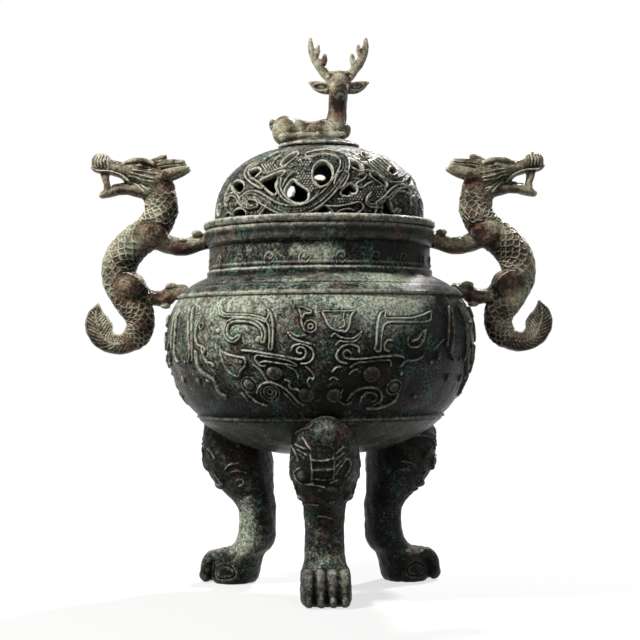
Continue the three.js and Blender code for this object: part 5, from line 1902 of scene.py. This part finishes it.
class Wiring:
    """Short names for the node groups that the finishes are made of."""

    def __init__(self, name):
        self.material = bpy.data.materials.new(name)
        self.material.use_nodes = True
        self.nodes = self.material.node_tree.nodes
        self.links = self.material.node_tree.links
        self.shader = self.nodes["Principled BSDF"]
        self.place = self.nodes.new("ShaderNodeTexCoord").outputs["Object"]

    def feed(self, socket, value):
        if isinstance(value, bpy.types.NodeSocket):
            self.links.new(value, socket)
        elif isinstance(value, tuple):
            socket.default_value = (*value, 1)
        else:
            socket.default_value = value

    def noise(self, size, detail, roughness, distortion=0.0):
        """Cloudy noise whose features are about size millimetres across."""
        node = self.nodes.new("ShaderNodeTexNoise")
        node.inputs["Scale"].default_value = 1 / (size * MM)
        node.inputs["Detail"].default_value = detail
        node.inputs["Roughness"].default_value = roughness
        node.inputs["Distortion"].default_value = distortion
        self.links.new(self.place, node.inputs["Vector"])
        return node.outputs["Fac"]

    def attribute(self, name):
        node = self.nodes.new("ShaderNodeAttribute")
        node.attribute_name = name
        return node.outputs["Fac"]

    def window(self, value, low, high, out_low=0.0, out_high=1.0):
        """Value taken smoothly from between low and high to between out_low and out_high."""
        node = self.nodes.new("ShaderNodeMapRange")
        node.interpolation_type = "SMOOTHSTEP"
        wanted = {"Value": value, "From Min": low, "From Max": high, "To Min": out_low, "To Max": out_high}
        for name, given in wanted.items():
            self.feed(node.inputs[name], given)
        return node.outputs["Result"]

    def maths(self, operation, first, second):
        node = self.nodes.new("ShaderNodeMath")
        node.operation = operation
        self.feed(node.inputs[0], first)
        self.feed(node.inputs[1], second)
        return node.outputs["Value"]

    def add(self, first, second):
        return self.maths("ADD", first, second)

    def times(self, first, second):
        return self.maths("MULTIPLY", first, second)

    def mix(self, factor, below, above):
        node = self.nodes.new("ShaderNodeMix")
        node.data_type = "RGBA"
        self.feed(node.inputs["Factor"], factor)
        self.feed(node.inputs["A"], below)
        self.feed(node.inputs["B"], above)
        return node.outputs["Result"]

    def bump(self, height, strength, depth):
        node = self.nodes.new("ShaderNodeBump")
        node.inputs["Strength"].default_value = strength
        node.inputs["Distance"].default_value = depth * MM
        self.feed(node.inputs["Height"], height)
        self.links.new(node.outputs["Normal"], self.shader.inputs["Normal"])


def old_bronze(name, palette, speckle, glaze, gloss):
    """Dark bronze under a mottled crust; glaze is the least roughness and gloss the specular level."""
    wiring = Wiring(name)
    add, times, mix, window = wiring.add, wiring.times, wiring.mix, wiring.window
    clouds = wiring.noise(CLOUD_SIZE, 5, 0.55, 0.3)
    patches = wiring.noise(PATCH_SIZE, 6, 0.62)
    grain = wiring.noise(GRAIN_SIZE, 5, 0.7)
    specks = wiring.noise(SPECK_SIZE, 4, 0.65)
    hollow = wiring.attribute("hollow")

    # crust: bare dark metal below 0, thick and pale above 1
    fine = times(add(add(times(grain, 1.4), times(specks, 1.9)), -1.65), speckle)
    broad = add(-1.6, add(times(clouds, 1.2), times(patches, 1.8)))
    tone = add(add(wiring.attribute("crust"), broad), fine)
    body = mix(window(tone, 0.0, 0.6), palette["dark"], palette["mid"])
    body = mix(window(tone, 0.35, 1.35), body, palette["pale"])

    # red-brown spots, then dirt and painted shade in the hollows
    red = add(times(wiring.noise(RED_SIZE, 5, 0.6), 1.4), times(grain, 0.5))
    body = mix(window(red, 1.0, 1.2, 0.0, 0.7), body, palette["red"])
    body = mix(times(hollow, 0.9), body, palette["hollow"])

    # blue-green growth, a little more of it in the hollows
    green_grain = wiring.noise(GREEN_GRAIN_SIZE, 4, 0.65)
    green = add(times(wiring.noise(GREEN_SIZE, 4, 0.55), 1.1), times(green_grain, 1.4))
    green = add(green, times(hollow, 0.06))
    body = mix(window(green, 1.38, 1.5, 0.0, 0.85), body, palette["green"])

    # small dark pits
    pits = add(times(grain, 0.6), times(wiring.noise(PIT_SIZE, 3, 0.6), 0.6))
    body = mix(times(window(pits, 0.52, 0.68, 0.6, 0.0), speckle), body, palette["hollow"])

    # rubbed metal and painted highlights on the high places, in patches and less where the crust is thin
    wear_and_highlight = times(wiring.attribute("wear_and_highlight"), window(grain, 0.36, 0.55, 0.4, 1.0))
    wear_and_highlight = times(wear_and_highlight, window(patches, 0.36, 0.54, 0.55, 1.15))
    body = mix(times(wear_and_highlight, window(tone, -0.6, 0.7, 0.35, 1.0)), body, palette["edge"])
    wiring.feed(wiring.shader.inputs["Base Color"], body)
    wiring.feed(wiring.shader.inputs["Roughness"], window(tone, 0.0, 0.9, glaze, glaze + 0.12))
    wiring.shader.inputs["Metallic"].default_value = 0
    wiring.shader.inputs["Specular IOR Level"].default_value = gloss
    wiring.bump(add(times(grain, 0.65), times(specks, 0.35)), 0.9, BUMP_DEPTH)
    return wiring.material


DARK_PALETTE = {
    "dark": (0.009, 0.01, 0.008),
    "mid": (0.062, 0.067, 0.053),
    "pale": (0.6, 0.65, 0.51),
    "green": (0.09, 0.23, 0.18),
    "red": (0.12, 0.058, 0.044),
    "hollow": (0.004, 0.004, 0.004),
    "edge": (0.72, 0.7, 0.57),
}
WORN_PALETTE = {
    "dark": (0.012, 0.006, 0.004),
    "mid": (0.12, 0.064, 0.04),
    "pale": (0.61, 0.58, 0.41),
    "green": (0.15, 0.25, 0.13),
    "red": (0.25, 0.095, 0.062),
    "hollow": (0.006, 0.004, 0.003),
    "edge": (0.75, 0.73, 0.57),
}
RIVET_PALETTE = dict(WORN_PALETTE, pale=(0.2, 0.18, 0.13), edge=(0.3, 0.26, 0.18))


# floor, world and lamps

FLOOR_HALF = 3000
FLOOR_NEAR = 250
FLOOR_FAR = 900
FLOOR_GREY = (0.2, 0.2, 0.2, 1)
FLOOR_GLOW_NEAR = 0.7
WHITE = (1, 1, 1, 1)
AMBIENT = 0.02


def seen_directly(nodes, links):
    """1 for rays from the camera and for mirrored and passed rays, which all show the background."""
    ray = nodes.new("ShaderNodeLightPath")
    total = ray.outputs["Is Camera Ray"]
    for name in ("Is Glossy Ray", "Is Transmission Ray"):
        node = nodes.new("ShaderNodeMath")
        node.operation = "MAXIMUM"
        links.new(total, node.inputs[0])
        links.new(ray.outputs[name], node.inputs[1])
        total = node.outputs["Value"]
    return total


def world():
    made = bpy.data.worlds.new("studio")
    bpy.context.scene.world = made
    made.use_nodes = True
    nodes, links = made.node_tree.nodes, made.node_tree.links
    strength = nodes.new("ShaderNodeMapRange")
    strength.inputs["To Min"].default_value = AMBIENT
    strength.inputs["To Max"].default_value = 1
    links.new(seen_directly(nodes, links), strength.inputs["Value"])
    links.new(strength.outputs["Result"], nodes["Background"].inputs["Strength"])
    nodes["Background"].inputs["Color"].default_value = WHITE


def floor():
    corners = [(-1, -1), (1, -1), (1, 1), (-1, 1)]
    points = np.array([(x * FLOOR_HALF, y * FLOOR_HALF, 0) for x, y in corners], float)
    mesh = new_mesh("floor", points, [np.array([[0, 1, 2, 3]])])
    piece = bpy.data.objects.new("floor", mesh)
    bpy.context.scene.collection.objects.link(piece)
    wiring = Wiring("floor")
    nodes, links = wiring.nodes, wiring.links
    wiring.shader.inputs["Base Color"].default_value = FLOOR_GREY
    wiring.shader.inputs["Roughness"].default_value = 0.9
    wiring.shader.inputs["Specular IOR Level"].default_value = 0
    length = nodes.new("ShaderNodeVectorMath")
    length.operation = "LENGTH"
    links.new(wiring.place, length.inputs[0])
    away = wiring.window(length.outputs["Value"], FLOOR_NEAR * MM, FLOOR_FAR * MM, FLOOR_GLOW_NEAR, 1.0)
    glow = wiring.times(away, seen_directly(nodes, links))
    wiring.shader.inputs["Emission Color"].default_value = WHITE
    wiring.feed(wiring.shader.inputs["Emission Strength"], glow)
    mesh.materials.append(wiring.material)


# lamps: place and aim in millimetres, width in millimetres, watts, tint
LAMPS = {
    "key": ((-620, -300, 880), (0, 0, 150), 130, 14.5, (1, 0.98, 0.95)),
    "glow": ((365, 656, 792), (40, -50, 165), 110, 19, (1, 0.96, 0.95)),
    "fill": ((300, -620, 880), (0, 0, 140), 240, 2.6, (0.97, 0.98, 1)),
}


def lamps():
    for name, (place, aim, width, watts, tint) in LAMPS.items():
        data = bpy.data.lights.new(name, "AREA")
        data.shape = "DISK"
        data.size = width * MM
        data.energy = watts
        data.color = tint
        light = bpy.data.objects.new(name, data)
        bpy.context.scene.collection.objects.link(light)
        light.location = Vector(place) * MM
        light.rotation_euler = (Vector(aim) - Vector(place)).to_track_quat("-Z", "Y").to_euler()


camera()
world()
floor()
lamps()
looks = {
    "patinated_bronze": old_bronze("patinated_bronze", DARK_PALETTE, 1.1, 0.26, 0.06),
    "worn_bronze": old_bronze("worn_bronze", WORN_PALETTE, 0.7, 0.22, 0.11),
    "rivet_bronze": old_bronze("rivet_bronze", RIVET_PALETTE, 0.5, 0.36, 0.1),
}
slot_of = {part["node"]: part["material_slot"] for part in frame["record"]["subparts"]}
for node_name, node in frame["nodes"].items():
    node.data.materials.clear()
    node.data.materials.append(looks[slot_of[node_name]])

bowl()
lid()
crown_plate()
legs()
dragons()
deer()

bpy.context.scene.view_settings.view_transform = "Standard"
